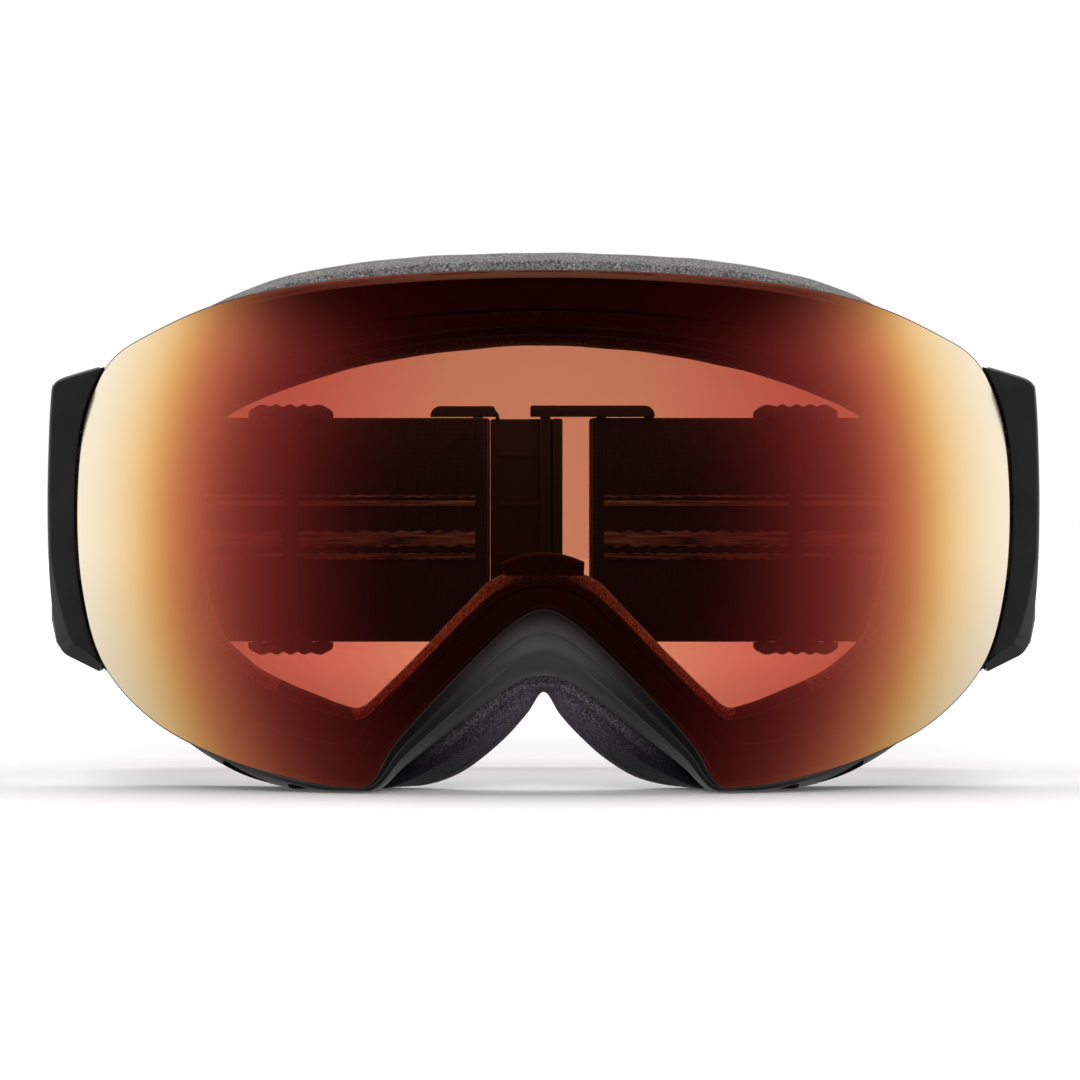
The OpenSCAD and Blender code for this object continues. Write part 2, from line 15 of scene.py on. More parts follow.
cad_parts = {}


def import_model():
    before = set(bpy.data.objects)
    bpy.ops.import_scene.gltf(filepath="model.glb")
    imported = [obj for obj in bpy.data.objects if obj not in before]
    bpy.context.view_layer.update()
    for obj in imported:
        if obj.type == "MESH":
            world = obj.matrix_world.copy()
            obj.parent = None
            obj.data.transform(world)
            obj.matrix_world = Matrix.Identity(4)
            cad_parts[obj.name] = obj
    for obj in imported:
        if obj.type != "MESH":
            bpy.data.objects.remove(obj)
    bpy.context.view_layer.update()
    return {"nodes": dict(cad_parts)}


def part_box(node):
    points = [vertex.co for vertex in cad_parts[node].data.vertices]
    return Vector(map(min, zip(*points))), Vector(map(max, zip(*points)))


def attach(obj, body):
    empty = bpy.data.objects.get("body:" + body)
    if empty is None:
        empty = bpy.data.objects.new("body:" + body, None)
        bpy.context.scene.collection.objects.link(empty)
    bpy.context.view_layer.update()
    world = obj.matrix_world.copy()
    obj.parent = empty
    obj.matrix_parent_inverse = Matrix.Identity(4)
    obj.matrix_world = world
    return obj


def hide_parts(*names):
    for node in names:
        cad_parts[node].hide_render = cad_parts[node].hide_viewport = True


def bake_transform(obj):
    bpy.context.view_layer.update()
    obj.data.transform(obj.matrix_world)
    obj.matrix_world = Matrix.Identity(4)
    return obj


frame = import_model()

MM = 0.001
APEX_DEPTH = round(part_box("outer_lens")[0].y / MM, 2)
SIDES = {"left": -1, "right": 1}

# Outlines seen from the front, right half from the top middle round to the nose, as x and height
LENS_EDGE = [[0, 93.2], [22, 92.7], [42, 91.1], [58, 87.9], [70.5, 82.9], [79, 77.4], [83.6, 67],
             [85, 52], [84, 36], [80, 22.5], [70.5, 12.3], [57.5, 5.8], [44, 2.1], [35, 0.9], [30.6, 1.8],
             [26.6, 8.4], [19, 17], [10, 26.2], [4.4, 31], [0, 32.7]]
SEAT_EDGE = [[0, 83.2], [18, 82.2], [34.5, 79.9], [49, 76.3], [60.5, 71.6], [67.5, 66.6], [70.5, 59.5],
             [71.5, 51.5], [70.5, 38.5], [67, 25.5], [60, 17.5], [52.5, 12.8], [45, 10.2], [38.5, 8.9],
             [33.6, 9.8], [28.3, 16.4], [20.6, 24.4], [13.2, 32], [7.2, 36.9], [0, 38.6]]
FACE_OPENING = [[0, 80.3], [17, 79.2], [32, 76.7], [45, 73.2], [55, 69.2], [60, 65.4], [62, 58.7],
                [62.6, 51.5], [61.8, 40], [59, 29.2], [54, 23.6], [48, 20], [42, 17.4], [37, 15.6],
                [33.3, 15.1], [29, 18.8], [21, 26.8], [14.3, 33.9], [9, 38.8], [0, 40.8]]
FRAME_REAR = [[0, 93.6], [21, 93], [40, 91.2], [55, 87.6], [67, 82.2], [75.5, 75.5], [80, 65.5],
              [81.5, 51], [80.5, 36], [76.5, 22.5], [68, 10.8], [56.5, 3.3], [45, 0], [36, -0.6], [30, 0],
              [25, 4.6], [17, 11], [9, 17.2], [4, 20.6], [0, 21.5]]
FOAM_EDGE = [[0, 97.6], [21, 97], [40, 95.1], [55, 91.2], [67.5, 84.8], [76, 77], [80.5, 66], [82, 51],
             [81, 36], [77, 22], [68.5, 10.8], [57, 3.6], [45, 0.5], [35, 0], [27.5, 0], [20.5, 0.7],
             [14, 3.4], [7.5, 8.6], [3, 13.6], [0, 17.6]]
STEPS = 12

# The lens is two shells of one sphere; offsets are measured back from its front surface
LENS_R = 112
LENS_Z = 47
OUTER_T = 1.8
INNER_OFF = 4.3
INNER_T = 0.8
SEAT_OFF = INNER_OFF + INNER_T
FLANGE_OFF = SEAT_OFF + 0.3
FLANGE_BACK = FLANGE_OFF + 1.9
CARRIER, GASKET = 0.7, 0.74
FOAM_LAYER = 4.2
FOAM_T = 11.8
FACE_DEPTH = 46

# Strap: everything on it droops together from the outriggers' bars
ARM_BAR = (88.97, 82.4)
ARM_BAR_R = 1.2
BAR_R = 1.0
FOLD_GAP = 0.2
STRAP_W = 45
STRAP_T = 1.3
STRAP_Z = 49.5
DROOP = math.radians(1.5)
STRAP_Y = 168.65
CORNER_X = 56
SIDE_X = 90.15
FOLD_R = BAR_R + FOLD_GAP + STRAP_T / 2
BAR_Y = STRAP_Y + FOLD_R
FOLD_X = {"left": 13.15, "right": 11.7}
TAIL_Y = 173.85
TAIL_BAR_Y = TAIL_Y - FOLD_R
TAIL_Z = 47
SLIDER_X = 50.8
SLIDER_PITCH = 6.6
SLIDER_HALF = 8.5
RAIL = (22.75, 24.9)
GRIP_T = 0.4


# ---------------------------------------------------------------- materials
class Nodes:
    """A shader tree, and short ways to put nodes in it."""

    def __init__(self, tree):
        self.tree = tree
        tree.nodes.clear()

    def node(self, kind, settings=None, **inputs):
        """A new node. Inputs go by name, or by number as i0, i1 and so on."""
        made = self.tree.nodes.new("ShaderNode" + kind)
        for name, value in (settings or {}).items():
            setattr(made, name, value)
        return self.feed(made, **inputs)

    def feed(self, node, **inputs):
        """Fills a node's inputs, from a number, a colour or another node's output."""
        for name, value in inputs.items():
            socket = node.inputs[int(name[1:]) if name[1:].isdigit() else name.replace("_", " ")]
            if isinstance(value, bpy.types.NodeSocket):
                self.tree.links.new(value, socket)
            else:
                socket.default_value = value
        return node

    def place(self, stretch=(1, 1, 1), uv=False):
        """Where a point lies on the object in millimetres, or along and across a strap."""
        at = self.node("TexCoord").outputs["UV" if uv else "Object"]
        scale = 1 if uv else 1 / MM
        return self.node("Mapping", Vector=at, Scale=[s * scale for s in stretch]).outputs[0]

    def noise(self, at, size, detail=3.0, roughness=0.55):
        """Grain of about that size in millimetres, from 0 to 1."""
        return self.node("TexNoise", Vector=at, Scale=1 / size, Detail=detail,
                         Roughness=roughness).outputs["Fac"]

    def cells(self, at, size):
        """Pores of about that size in millimetres, as the distance from each one's middle."""
        return self.node("TexVoronoi", Vector=at, Scale=1 / size).outputs["Distance"]

    def ribs(self, at, pitch, axis, distortion):
        """Ridges at that pitch in millimetres."""
        bands = {"wave_type": "BANDS", "bands_direction": axis, "wave_profile": "SIN"}
        return self.node("TexWave", bands, Vector=at, Scale=math.pi / 10 / pitch, Distortion=distortion,
                         Detail=1.0).outputs["Fac"]

    def math(self, operation, a, b=0.0):
        return self.node("Math", {"operation": operation}, i0=a, i1=b).outputs[0]

    def times(self, a, b):
        return self.math("MULTIPLY", a, b)

    def plus(self, a, b):
        return self.math("ADD", a, b)

    def vector(self, operation, a, b=(0, 0, 0)):
        return self.node("VectorMath", {"operation": operation}, i0=a, i1=b).outputs

    def spread(self, value, low, high, to_low=0.0, to_high=1.0, smooth=False):
        """Maps low..high to to_low..to_high, and holds the ends."""
        curve = {"interpolation_type": "SMOOTHSTEP" if smooth else "LINEAR"}
        return self.node("MapRange", curve, i0=value, i1=low, i2=high, i3=to_low, i4=to_high).outputs[0]

    def ramp(self, value, stops):
        made = self.node("ValToRGB", i0=value)
        made.color_ramp.interpolation = "B_SPLINE"
        elements = made.color_ramp.elements
        while len(elements) < len(stops):
            elements.new(0.5)
        for element, (position, colour) in zip(elements, stops):
            element.position = position
            element.color = (*colour, 1)
        return made.outputs[0]

    def blend(self, share, a, b, kind="MIX"):
        a, b = (c if isinstance(c, bpy.types.NodeSocket) else (*c, 1) for c in (a, b))
        return self.node("Mix", {"data_type": "RGBA", "blend_type": kind}, i0=share, i6=a, i7=b).outputs[2]

    def shaded(self, colour, level):
        """A colour times a level."""
        grey = self.node("CombineColor", Red=level, Green=level, Blue=level).outputs[0]
        return self.blend(1.0, colour, grey, "MULTIPLY")

    def parts(self, at):
        return self.node("SeparateXYZ", i0=at).outputs

    def attribute(self, name):
        return self.node("Attribute", {"attribute_name": name}).outputs["Fac"]

    def mixed(self, share, a, b):
        """Two shaders by a share."""
        return self.node("MixShader", i0=share, i1=a.outputs[0], i2=b.outputs[0])


class Surface(Nodes):
    """A material with one Principled shader."""

    def __init__(self, name, colour, roughness, **sockets):
        self.name = name
        self.material = bpy.data.materials.new(name)
        self.material.use_nodes = True
        super().__init__(self.material.node_tree)
        self.output = self.node("OutputMaterial")
        self.shader = self.node("BsdfPrincipled", Base_Color=(*colour, 1), Roughness=roughness, **sockets)
        self.show(self.shader)

    def show(self, shader):
        self.feed(self.output, Surface=shader.outputs[0])

    def paint(self, colour):
        self.feed(self.shader, Base_Color=colour)

    def roughen(self, value):
        self.feed(self.shader, Roughness=value)

    def bump(self, height, depth, strength):
        """Relief of that depth in millimetres."""
        relief = self.node("Bump", Strength=strength, Distance=depth * MM, Height=height)
        self.feed(self.shader, Normal=relief.outputs[0])


def srgb(*levels):
    """Linear colour of an sRGB one given as 0 to 255."""
    return [((v / 255 + 0.055) / 1.055) ** 2.4 if v > 10 else v / 255 / 12.92 for v in levels]


def moulded(name, colour, roughness, grain=0.25, depth=0.012, **sockets):
    """Moulded plastic: a fine spark-eroded grain, and a sheen that wanders over a few millimetres."""
    s = Surface(name, colour, roughness, **sockets)
    at = s.place()
    fine = s.noise(at, grain, 2)
    cloud = s.noise(at, 7, 3)
    s.roughen(s.spread(s.plus(s.times(fine, 0.4), cloud), 0.35, 1.0, roughness - 0.07, roughness + 0.09))
    light = [min(1, c * 1.35 + 0.002) for c in colour]
    s.paint(s.blend(s.spread(cloud, 0.3, 0.75), colour, light))
    s.bump(fine, depth, 0.6)
    return s


# Painted shade on the frame: how far the dark band behind the lens's edge reaches, and the heights over
# which the cheeks darken towards the bottom
GROOVE_SHADE_W = 1.2
CHEEK_SHADE_HEIGHTS = (12, 29)


def frame_rubber():
    """Soft rubbery plastic with painted shade: nearly black in the channel just behind the lens's edge,
    which the lens shades, and darker towards the bottom of the cheeks, where less light falls.
    """
    s = moulded("soft_frame", srgb(74, 74, 75), 0.5, 0.2, 0.015, Specular_IOR_Level=0.2)
    at = s.place()
    from_centre = s.vector("DISTANCE", at, (0, LENS_R + APEX_DEPTH, LENS_Z))["Value"]
    behind = s.math("SUBTRACT", float(LENS_R), from_centre)
    # Painted shade: near black just behind the lens's edge, and darker low on the cheeks
    groove_shade = s.spread(behind, FLANGE_OFF, FLANGE_OFF + GROOVE_SHADE_W, 0.1, 1.0, smooth=True)
    cheek_shade = s.spread(s.parts(at)[2], *CHEEK_SHADE_HEIGHTS, 0.14, 1.0, smooth=True)
    s.paint(s.shaded(s.shader.inputs["Base Color"].links[0].from_socket, s.times(groove_shade, cheek_shade)))
    return s


def metal(name, colour, stretch):
    """Plated or turned steel with fine marks across it."""
    s = Surface(name, colour, 0.28, Metallic=1.0)
    marks = s.noise(s.place(stretch), 0.5, 4)
    s.roughen(s.spread(marks, 0.3, 0.7, 0.2, 0.42))
    s.paint(s.blend(s.spread(s.noise(s.place(), 1.5), 0.35, 0.7), colour, [c * 0.72 for c in colour]))
    s.bump(marks, 0.01, 0.5)
    return s


PAST_FRAME = "past_frame"
# Painted highlight: distances past the frame over which the foam's near-white edge colour fades to its own
TRIM_HIGHLIGHT_W = (1.4, 2.8)


def foam(name, top, low, cell, fleck, depth, trim_highlight=None):
    """Open-cell foam: flecked heather colour, which goes from one shade on top to another by the nose, with
    painted shade that takes it nearly to black towards the bottom, and, where an edge colour is given, a
    painted highlight from that near-white colour to its own over the first millimetres past the frame, on
    the edge that the frame's lip shades."""
    s = Surface(name, top, 0.95, Sheen_Weight=0.1, Sheen_Roughness=0.6, Specular_IOR_Level=0.2)
    at = s.place()
    height = s.parts(at)[2]
    by_nose = low
    if trim_highlight is not None:
        # Partly a lighter edge and partly painted highlight: near white, to light the foam where the frame's
        # lip shades it
        by_nose = s.blend(s.spread(s.attribute(PAST_FRAME), *TRIM_HIGHLIGHT_W), trim_highlight, low)
    # Painted shade: nearly black towards the bottom, near the floor
    base = s.blend(s.spread(height, 3, 20, smooth=True), [c * 0.08 for c in low], by_nose)
    base = s.blend(s.spread(height, 24, 50, smooth=True), base, top)
    pores = s.cells(at, cell)
    flecks = s.noise(at, fleck, 2, 0.7)
    patches = s.noise(at, 5, 2)
    shade = s.times(s.spread(flecks, 0.36, 0.66, 0.3, 1.6),
                   s.spread(patches, 0.3, 0.7, 0.86, 1.14))
    shade = s.plus(shade, s.spread(s.noise(at, fleck * 1.6, 1), 0.62, 0.72, 0.0, 0.9))
    shade = s.times(shade, s.spread(pores, 0.1, 0.75, 1.15, 0.5))
    s.paint(s.shaded(base, shade))
    lumps = s.plus(s.times(pores, -0.7), flecks)
    s.bump(lumps, depth, 0.9)
    return s


def webbing():
    """Woven elastic: ribs across the strap, fine threads along it, and lines where the rubber cores run."""
    s = Surface("strap_webbing", srgb(22, 21, 22), 0.82, Sheen_Weight=0.35, Sheen_Roughness=0.45)
    at = s.place((1, 1, 1), uv=True)
    streaks = s.noise(s.place((1, 0.06, 1), uv=True), 0.5, 3, 0.7)
    picks = s.ribs(at, 0.62, "X", 0.25)
    threads = s.ribs(at, 0.95, "Y", 0.1)
    weave = s.plus(s.times(picks, s.spread(threads, 0, 1, 0.45, 1.0)),
                   s.times(s.noise(at, 0.3, 2), 0.5))
    s.paint(s.blend(s.spread(s.plus(streaks, s.times(weave, 0.35)), 0.45, 1.1),
                    srgb(11, 10, 10), srgb(38, 35, 37)))
    s.bump(weave, 0.16, 0.8)
    return s


def silicone():
    """Printed silicone: glossy lines with streaks where the print is thin."""
    s = Surface("grip_silicone", srgb(70, 62, 58), 0.38, Coat_Weight=0.15, Coat_Roughness=0.25)
    streaks = s.noise(s.place((0.05, 1, 1), uv=True), 0.55, 4, 0.7)
    s.paint(s.blend(s.spread(streaks, 0.38, 0.64), srgb(46, 42, 40), srgb(150, 134, 120)))
    s.bump(s.noise(s.place((0.3, 1, 1), uv=True), 0.6, 2), 0.05, 0.7)
    s.roughen(s.spread(streaks, 0.3, 0.7, 0.32, 0.55))
    return s


# Mirror coating from the lens's middle to its rim: distance in millimetres, sRGB of the coat, and how much
# it covers.
# The colours are partly the coat's own and partly painted reflection, cream towards the rim for the bright
# studio sides that the dome mirrors there. TINT is what the plastic under it lets through, by distance too.
RIM_R = 90
RIM_DISTANCE = "rim_distance"
COAT_AND_REFLECTION = [
    (0, (58, 32, 25), 0.20),
    (24, (84, 28, 25), 0.24),
    (31, (126, 35, 31), 0.29),
    (38, (176, 45, 40), 0.36),
    (46, (203, 53, 46), 0.47),
    (54, (186, 58, 46), 0.64),
    (60, (199, 84, 58), 0.78),
    (66, (214, 122, 72), 0.92),
    (70, (226, 160, 84), 0.97),
    (74, (240, 198, 132), 0.99),
    (78, (245, 218, 172), 1.0),
    (83, (248, 233, 206), 1.0),
    (90, (250, 240, 222), 1.0),
]
TINT = [(0, (0.84, 0.32, 0.177)), (18, (0.86, 0.31, 0.175)), (26, (0.9, 0.27, 0.17)),
        (36, (0.93, 0.22, 0.15)), (48, (0.94, 0.19, 0.13)), (90, (0.95, 0.3, 0.16))]

# How much a height off the middle counts, in the coat's bands and in the tint's, and where the painted band
# of light along the rim fades
MIRROR_UPRIGHT = 0.75
TINT_UPRIGHT = 0.06
PAINTED_RIM_LIGHT = (0.7, 1.2)


def lens_radius(s, upright):
    """Share of the way from the lens's middle to its rim, with the height counting for less."""
    x, _, z = s.parts(s.place())
    z = s.math("SUBTRACT", z, float(LENS_Z))
    flat = s.plus(s.times(x, x), s.times(s.times(z, z), upright))
    return s.spread(s.math("SQRT", flat), 0, RIM_R)


def mirror_lens():
    """Tinted polycarbonate under a semi-transparent mirror coating that covers more towards the rim, its
    colour there partly painted reflection.
    Where the lens overhangs the frame, a narrow band along its edge is painted lit, more at the top and
    towards the sides."""
    s = Surface("mirror_lens", srgb(240, 200, 140), 0.14, Metallic=1.0, Coat_Weight=0.6, Coat_Roughness=0.03)
    r = lens_radius(s, MIRROR_UPRIGHT)
    # Partly painted reflection: the coat's colour by distance, cream towards the rim
    s.paint(s.ramp(r, [(at / RIM_R, srgb(*colour)) for at, colour, _ in COAT_AND_REFLECTION]))
    cover = s.ramp(r, [(at / RIM_R, [share] * 3) for at, _, share in COAT_AND_REFLECTION])
    tint = s.ramp(lens_radius(s, TINT_UPRIGHT), [(at / RIM_R, colour) for at, colour in TINT])
    seen = s.node("BsdfTransparent", i0=tint)
    # Painted light: a lit brown band along the rim, strongest at the top and towards the sides
    band = s.node("BsdfPrincipled", Base_Color=(*srgb(150, 84, 62), 1), Roughness=0.4)
    near_rim = s.spread(s.attribute(RIM_DISTANCE), *PAINTED_RIM_LIGHT, 1, 0)
    x, _, height = s.parts(s.place())
    rim_light_sideways = s.spread(s.math("ABSOLUTE", x), 8, 50, 0.06, 1.0, smooth=True)
    lit = s.times(s.spread(height, 30, 80, 0.12, 0.75), rim_light_sideways)
    through = s.mixed(s.times(near_rim, lit), seen, band)
    s.show(s.mixed(cover, through, s.shader))
    s.roughen(s.spread(s.noise(s.place(), 24, 2), 0.3, 0.7, 0.1, 0.16))
    return s


def clear(name, tint, share, roughness=0.05):
    """Clear plastic seen through, with a little of its own gloss."""
    s = Surface(name, [c * 0.04 for c in tint], roughness, Coat_Weight=0.5, Coat_Roughness=0.03)
    s.roughen(s.spread(s.noise(s.place(), 15, 2), 0.3, 0.7, roughness, roughness + 0.05))
    s.show(s.mixed(share, s.node("BsdfTransparent", i0=(*tint, 1)), s.shader))
    return s


MATERIALS = {surface.name: surface.material for surface in (
    mirror_lens(),
    clear("lens_back", (0.97, 0.93, 0.9), 0.02),
    moulded("lens_rim", srgb(46, 27, 22), 0.6, 0.3, 0.004, Specular_IOR_Level=0.2),
    clear("inner_lens", (0.95, 0.93, 0.92), 0.02),
    foam("gasket_foam", srgb(34, 34, 35), srgb(34, 34, 35), 0.5, 0.35, 0.12),
    moulded("carrier_plastic", srgb(24, 23, 24), 0.45),
    metal("magnet", (0.62, 0.62, 0.63), (1, 1, 1)),
    frame_rubber(),
    # The face foam's near-white edge colour is partly a painted highlight
    foam("face_foam", srgb(132, 131, 129), srgb(108, 98, 116), 0.42, 0.33, 0.22,
         trim_highlight=srgb(222, 214, 220)),
    foam("fleece", srgb(84, 83, 82), srgb(100, 92, 106), 0.34, 0.3, 0.18),
    foam("vent_foam", srgb(58, 57, 60), srgb(58, 57, 60), 0.9, 0.6, 0.35),
    moulded("hard_plastic", srgb(34, 34, 35), 0.42),
    moulded("lever_plastic", srgb(48, 48, 50), 0.38),
    moulded("outrigger_plastic", srgb(32, 32, 33), 0.46, Specular_IOR_Level=0.38),
    metal("pin_steel", (0.56, 0.56, 0.57), (1, 1, 0.1)),
    webbing(),
    moulded("stitching", srgb(58, 56, 58), 0.75, 0.12, 0.03),
    silicone(),
    moulded("buckle_plastic", srgb(34, 33, 34), 0.42),
)}


# ---------------------------------------------------------------- mesh making
def placed(points):
    return (np.asarray(points, float) + [0, APEX_DEPTH, 0]) * MM


def drooped(points):
    """Points given from the strap's middle line, turned down with the strap."""
    p = np.array(points, float)
    y, z = p[:, 1] - ARM_BAR[1], p[:, 2].copy()
    p[:, 1] = ARM_BAR[1] + y * math.cos(DROOP) + z * math.sin(DROOP)
    p[:, 2] = STRAP_Z - y * math.sin(DROOP) + z * math.cos(DROOP)
    return p


def spot(x, y, z):
    """One point in the row frame."""
    return placed([[x, y, z]])[0].tolist()


def added(name, data):
    """A new object in the scene."""
    made = bpy.data.objects.new(name, data)
    bpy.context.scene.collection.objects.link(made)
    return made


def points_of(mesh):
    """A mesh's points and their normals."""
    return [np.array([part[:] for part in parts]) for parts in
            ([v.co for v in mesh.vertices], [v.normal for v in mesh.vertices])]


def store(made, name, values):
    """Keeps one number per point, for a material to read."""
    made.data.attributes.new(name, "FLOAT", "POINT").data.foreach_set("value", values.astype(np.float32))


def mesh_object(name, points, faces, surfaces, face_surfaces=None, uvs=None, sharp=40):
    """A closed mesh object with outward faces. uvs are one pair per point, in millimetres."""
    mesh = bpy.data.meshes.new(name)
    mesh.from_pydata([list(p) for p in placed(points)], [], [list(f) for f in faces])
    for surface in surfaces:
        mesh.materials.append(MATERIALS[surface])
    if face_surfaces is not None:
        mesh.polygons.foreach_set("material_index", np.asarray(face_surfaces, np.int32))
    if uvs is not None:
        layer = mesh.uv_layers.new(name="Along")
        corners = np.zeros(len(mesh.loops), np.int32)
        mesh.loops.foreach_get("vertex_index", corners)
        layer.data.foreach_set("uv", np.asarray(uvs, np.float32)[corners].ravel())
    bm = bmesh.new()
    bm.from_mesh(mesh)
    bmesh.ops.recalc_face_normals(bm, faces=bm.faces)
    bm.to_mesh(mesh)
    bm.free()
    mesh.shade_smooth()
    if sharp:
        mesh.set_sharp_from_angle(angle=math.radians(sharp))
    return added(name, mesh)


def lengths(vectors):
    return np.linalg.norm(vectors, axis=-1, keepdims=True)


def units(vectors):
    return vectors / np.maximum(lengths(vectors), 1e-9)


def stretch_between(a, b, c, d, steps):
    """Catmull-Rom curve from b to c, which leaves out its end."""
    u = np.arange(steps)[:, None] / steps
    return (2 * b + (c - a) * u + (2 * a - 5 * b + 4 * c - d) * u**2 + (3 * b - a - 3 * c + d) * u**3) / 2


def smooth_loop(points, steps):
    """Closed smooth curve through the points."""
    count = len(points)
    return np.vstack([stretch_between(*(points[(i + k) % count] for k in (-1, 0, 1, 2)), steps)
                      for i in range(count)])


def smooth_path(points, steps):
    """Open smooth curve through the points."""
    p = np.array(points, float)
    p = np.vstack([2 * p[0] - p[1], p, 2 * p[-1] - p[-2]])
    return np.vstack([*(stretch_between(*p[i:i + 4], steps) for i in range(len(p) - 3)), p[-2:-1]])


def path_normals(path):
    run = units(np.gradient(path, axis=0))
    return np.column_stack([-run[:, 1], run[:, 0]])


def across(at, normal, shape):
    """A section across a path seen from above: offsets along its normal, and heights."""
    return [[at[0] + normal[0] * off, at[1] + normal[1] * off, z] for off, z in shape]


def outline(half):
    """The whole smooth outline of a right half."""
    half = np.array(half, float)
    return smooth_loop(np.vstack([half, half[-2:0:-1] * [-1, 1]]), STEPS)


def between(a, b, share):
    return a + (b - a) * share


lens_edge = outline(LENS_EDGE)
seat_edge = outline(SEAT_EDGE)
face_opening = outline(FACE_OPENING)
frame_rear = outline(FRAME_REAR)
foam_edge = outline(FOAM_EDGE)
OVERHANG = np.interp(np.abs(lens_edge[:, 0]), [60, 75], [0.13, 0.2])[:, None]


def lens_depth(loop, off):
    return LENS_R - np.sqrt((LENS_R - off) ** 2 - loop[:, 0] ** 2 - (loop[:, 1] - LENS_Z) ** 2)


def rear_depth(loop):
    """Depth of the frame's back, which follows the brow and comes forward over the nose."""
    nose = np.exp(-(loop[:, 0] / 18) ** 2) * np.clip((50 - loop[:, 1]) / 26, 0, 1)
    return FACE_DEPTH + loop[:, 0] ** 2 / 256 - 9 * nose - FOAM_T


def at_depth(loop, depth):
    return np.column_stack([loop[:, 0], depth + np.zeros(len(loop)), loop[:, 1]])


def on_lens(loop, off):
    return at_depth(loop, lens_depth(loop, off))


def on_rear(loop, back):
    return at_depth(loop, rear_depth(loop) + back)


def rounded(rows, radii, steps=4):
    """Rows of a ring's section, with each corner that has a radius turned into a curve."""
    made = []
    for j, radius in enumerate(radii):
        here, before, after = rows[j], rows[j - 1] - rows[j], rows[(j + 1) % len(rows)] - rows[j]
        if not radius:
            made.append(here)
            continue
        a = here + units(before) * np.minimum(radius, 0.48 * lengths(before))
        b = here + units(after) * np.minimum(radius, 0.48 * lengths(after))
        for t in np.linspace(0, 1, steps + 1):
            made.append((1 - t) ** 2 * a + 2 * t * (1 - t) * here + t**2 * b)
    return made


def ring(name, rows, surface, sharp=40):
    """Closed ring through rows, all with one point per station."""
    m, n = len(rows), len(rows[0])
    points = np.stack(rows, axis=1).reshape(-1, 3)
    faces = [(i * m + j, i * m + (j + 1) % m, (i + 1) % n * m + (j + 1) % m, (i + 1) % n * m + j)
             for i in range(n) for j in range(m)]
    return mesh_object(name, points, faces, [surface], sharp=sharp)


def tube(name, sections, surface, uvs=None, sharp=40):
    """Closed solid through sections, all with the same number of points, with flat ends."""
    sections = np.asarray(sections, float)
    n, m = sections.shape[:2]
    faces = [(i * m + j, i * m + (j + 1) % m, (i + 1) * m + (j + 1) % m, (i + 1) * m + j)
             for i in range(n - 1) for j in range(m)]
    faces += [tuple(range(m)), tuple(range((n - 1) * m, n * m))]
    return mesh_object(name, sections.reshape(-1, 3), faces, [surface], uvs=uvs, sharp=sharp)


def prism(name, flat, low, high, surface, to_space, bevel=0.35, segments=3):
    """An outline given thickness between two levels, with its edges rounded."""
    flat = np.array(flat, float)
    n = len(flat)
    points = np.vstack([to_space(flat, low), to_space(flat, high)])
    faces = [tuple(range(n)), tuple(range(n, 2 * n))]
    faces += [(i, (i + 1) % n, n + (i + 1) % n, n + i) for i in range(n)]
    made = mesh_object(name, points, faces, [surface], sharp=0)
    round_edges(made, bevel, segments)
    return made


def round_edges(made, width, segments=3, angle=28):
    """Rounds a piece's sharp edges for good."""
    if width:
        modifier = made.modifiers.new("Rounding", "BEVEL")
        modifier.width = width * MM
        modifier.segments = segments
        modifier.limit_method = "ANGLE"
        modifier.angle_limit = math.radians(angle)
        modifier.use_clamp_overlap = True
        settle(made)
    made.data.shade_smooth()
    made.data.set_sharp_from_angle(angle=math.radians(50))


def settle(made):
    """Applies every modifier."""
    graph = bpy.context.evaluated_depsgraph_get()
    mesh = bpy.data.meshes.new_from_object(made.evaluated_get(graph))
    made.modifiers.clear()
    old = made.data
    made.data = mesh
    bpy.data.meshes.remove(old)
    mesh.name = made.name


def carve(made, tool):
    """Cuts a tool out of a piece, and drops the tool."""
    modifier = made.modifiers.new("Cut", "BOOLEAN")
    modifier.operation = "DIFFERENCE"
    modifier.solver = "EXACT"
    modifier.object = tool
    bpy.context.view_layer.update()
    settle(made)
    bpy.data.objects.remove(tool)
    made.data.shade_smooth()
    made.data.set_sharp_from_angle(angle=math.radians(42))


def joined(name, pieces):
    """One object from several closed pieces."""
    bm = bmesh.new()
    surfaces = []
    for piece in pieces:
        start = len(bm.faces)
        bm.from_mesh(piece.data)
        bm.faces.ensure_lookup_table()
        for face in bm.faces[start:]:
            material = piece.data.materials[face.material_index]
            if material not in surfaces:
                surfaces.append(material)
            face.material_index = surfaces.index(material)
    mesh = bpy.data.meshes.new(name)
    bm.to_mesh(mesh)
    bm.free()
    for material in surfaces:
        mesh.materials.append(material)
    for piece in pieces:
        bpy.data.objects.remove(piece)
    return added(name, mesh)


def mirrored(points, side, droop=False):
    """Points on one side of the face or the other, which droop with the strap if asked."""
    return np.asarray(drooped(points) if droop else points, float) * [side, 1, 1]


def seen_from_front(side=1, droop=False):
    """Puts an x and height outline at a depth."""
    def to_space(flat, depth):
        return mirrored(at_depth(flat, depth), side, droop)
    return to_space


def seen_from_side(side):
    """Puts a depth and height outline at an x."""
    def to_space(flat, x):
        return mirrored(np.column_stack([np.full(len(flat), x), flat]), side)
    return to_space


def seen_from_above(side=1, droop=False):
    """Puts an x and depth outline at a height."""
    def to_space(flat, height):
        return mirrored(np.column_stack([flat, np.full(len(flat), height)]), side, droop)
    return to_space


def box_prism(name, x, y, z, surface, side=1, droop=False, bevel=0.3):
    flat = [[x[0], z[0]], [x[1], z[0]], [x[1], z[1]], [x[0], z[1]]]
    return prism(name, flat, y[0], y[1], surface, seen_from_front(side, droop), bevel)


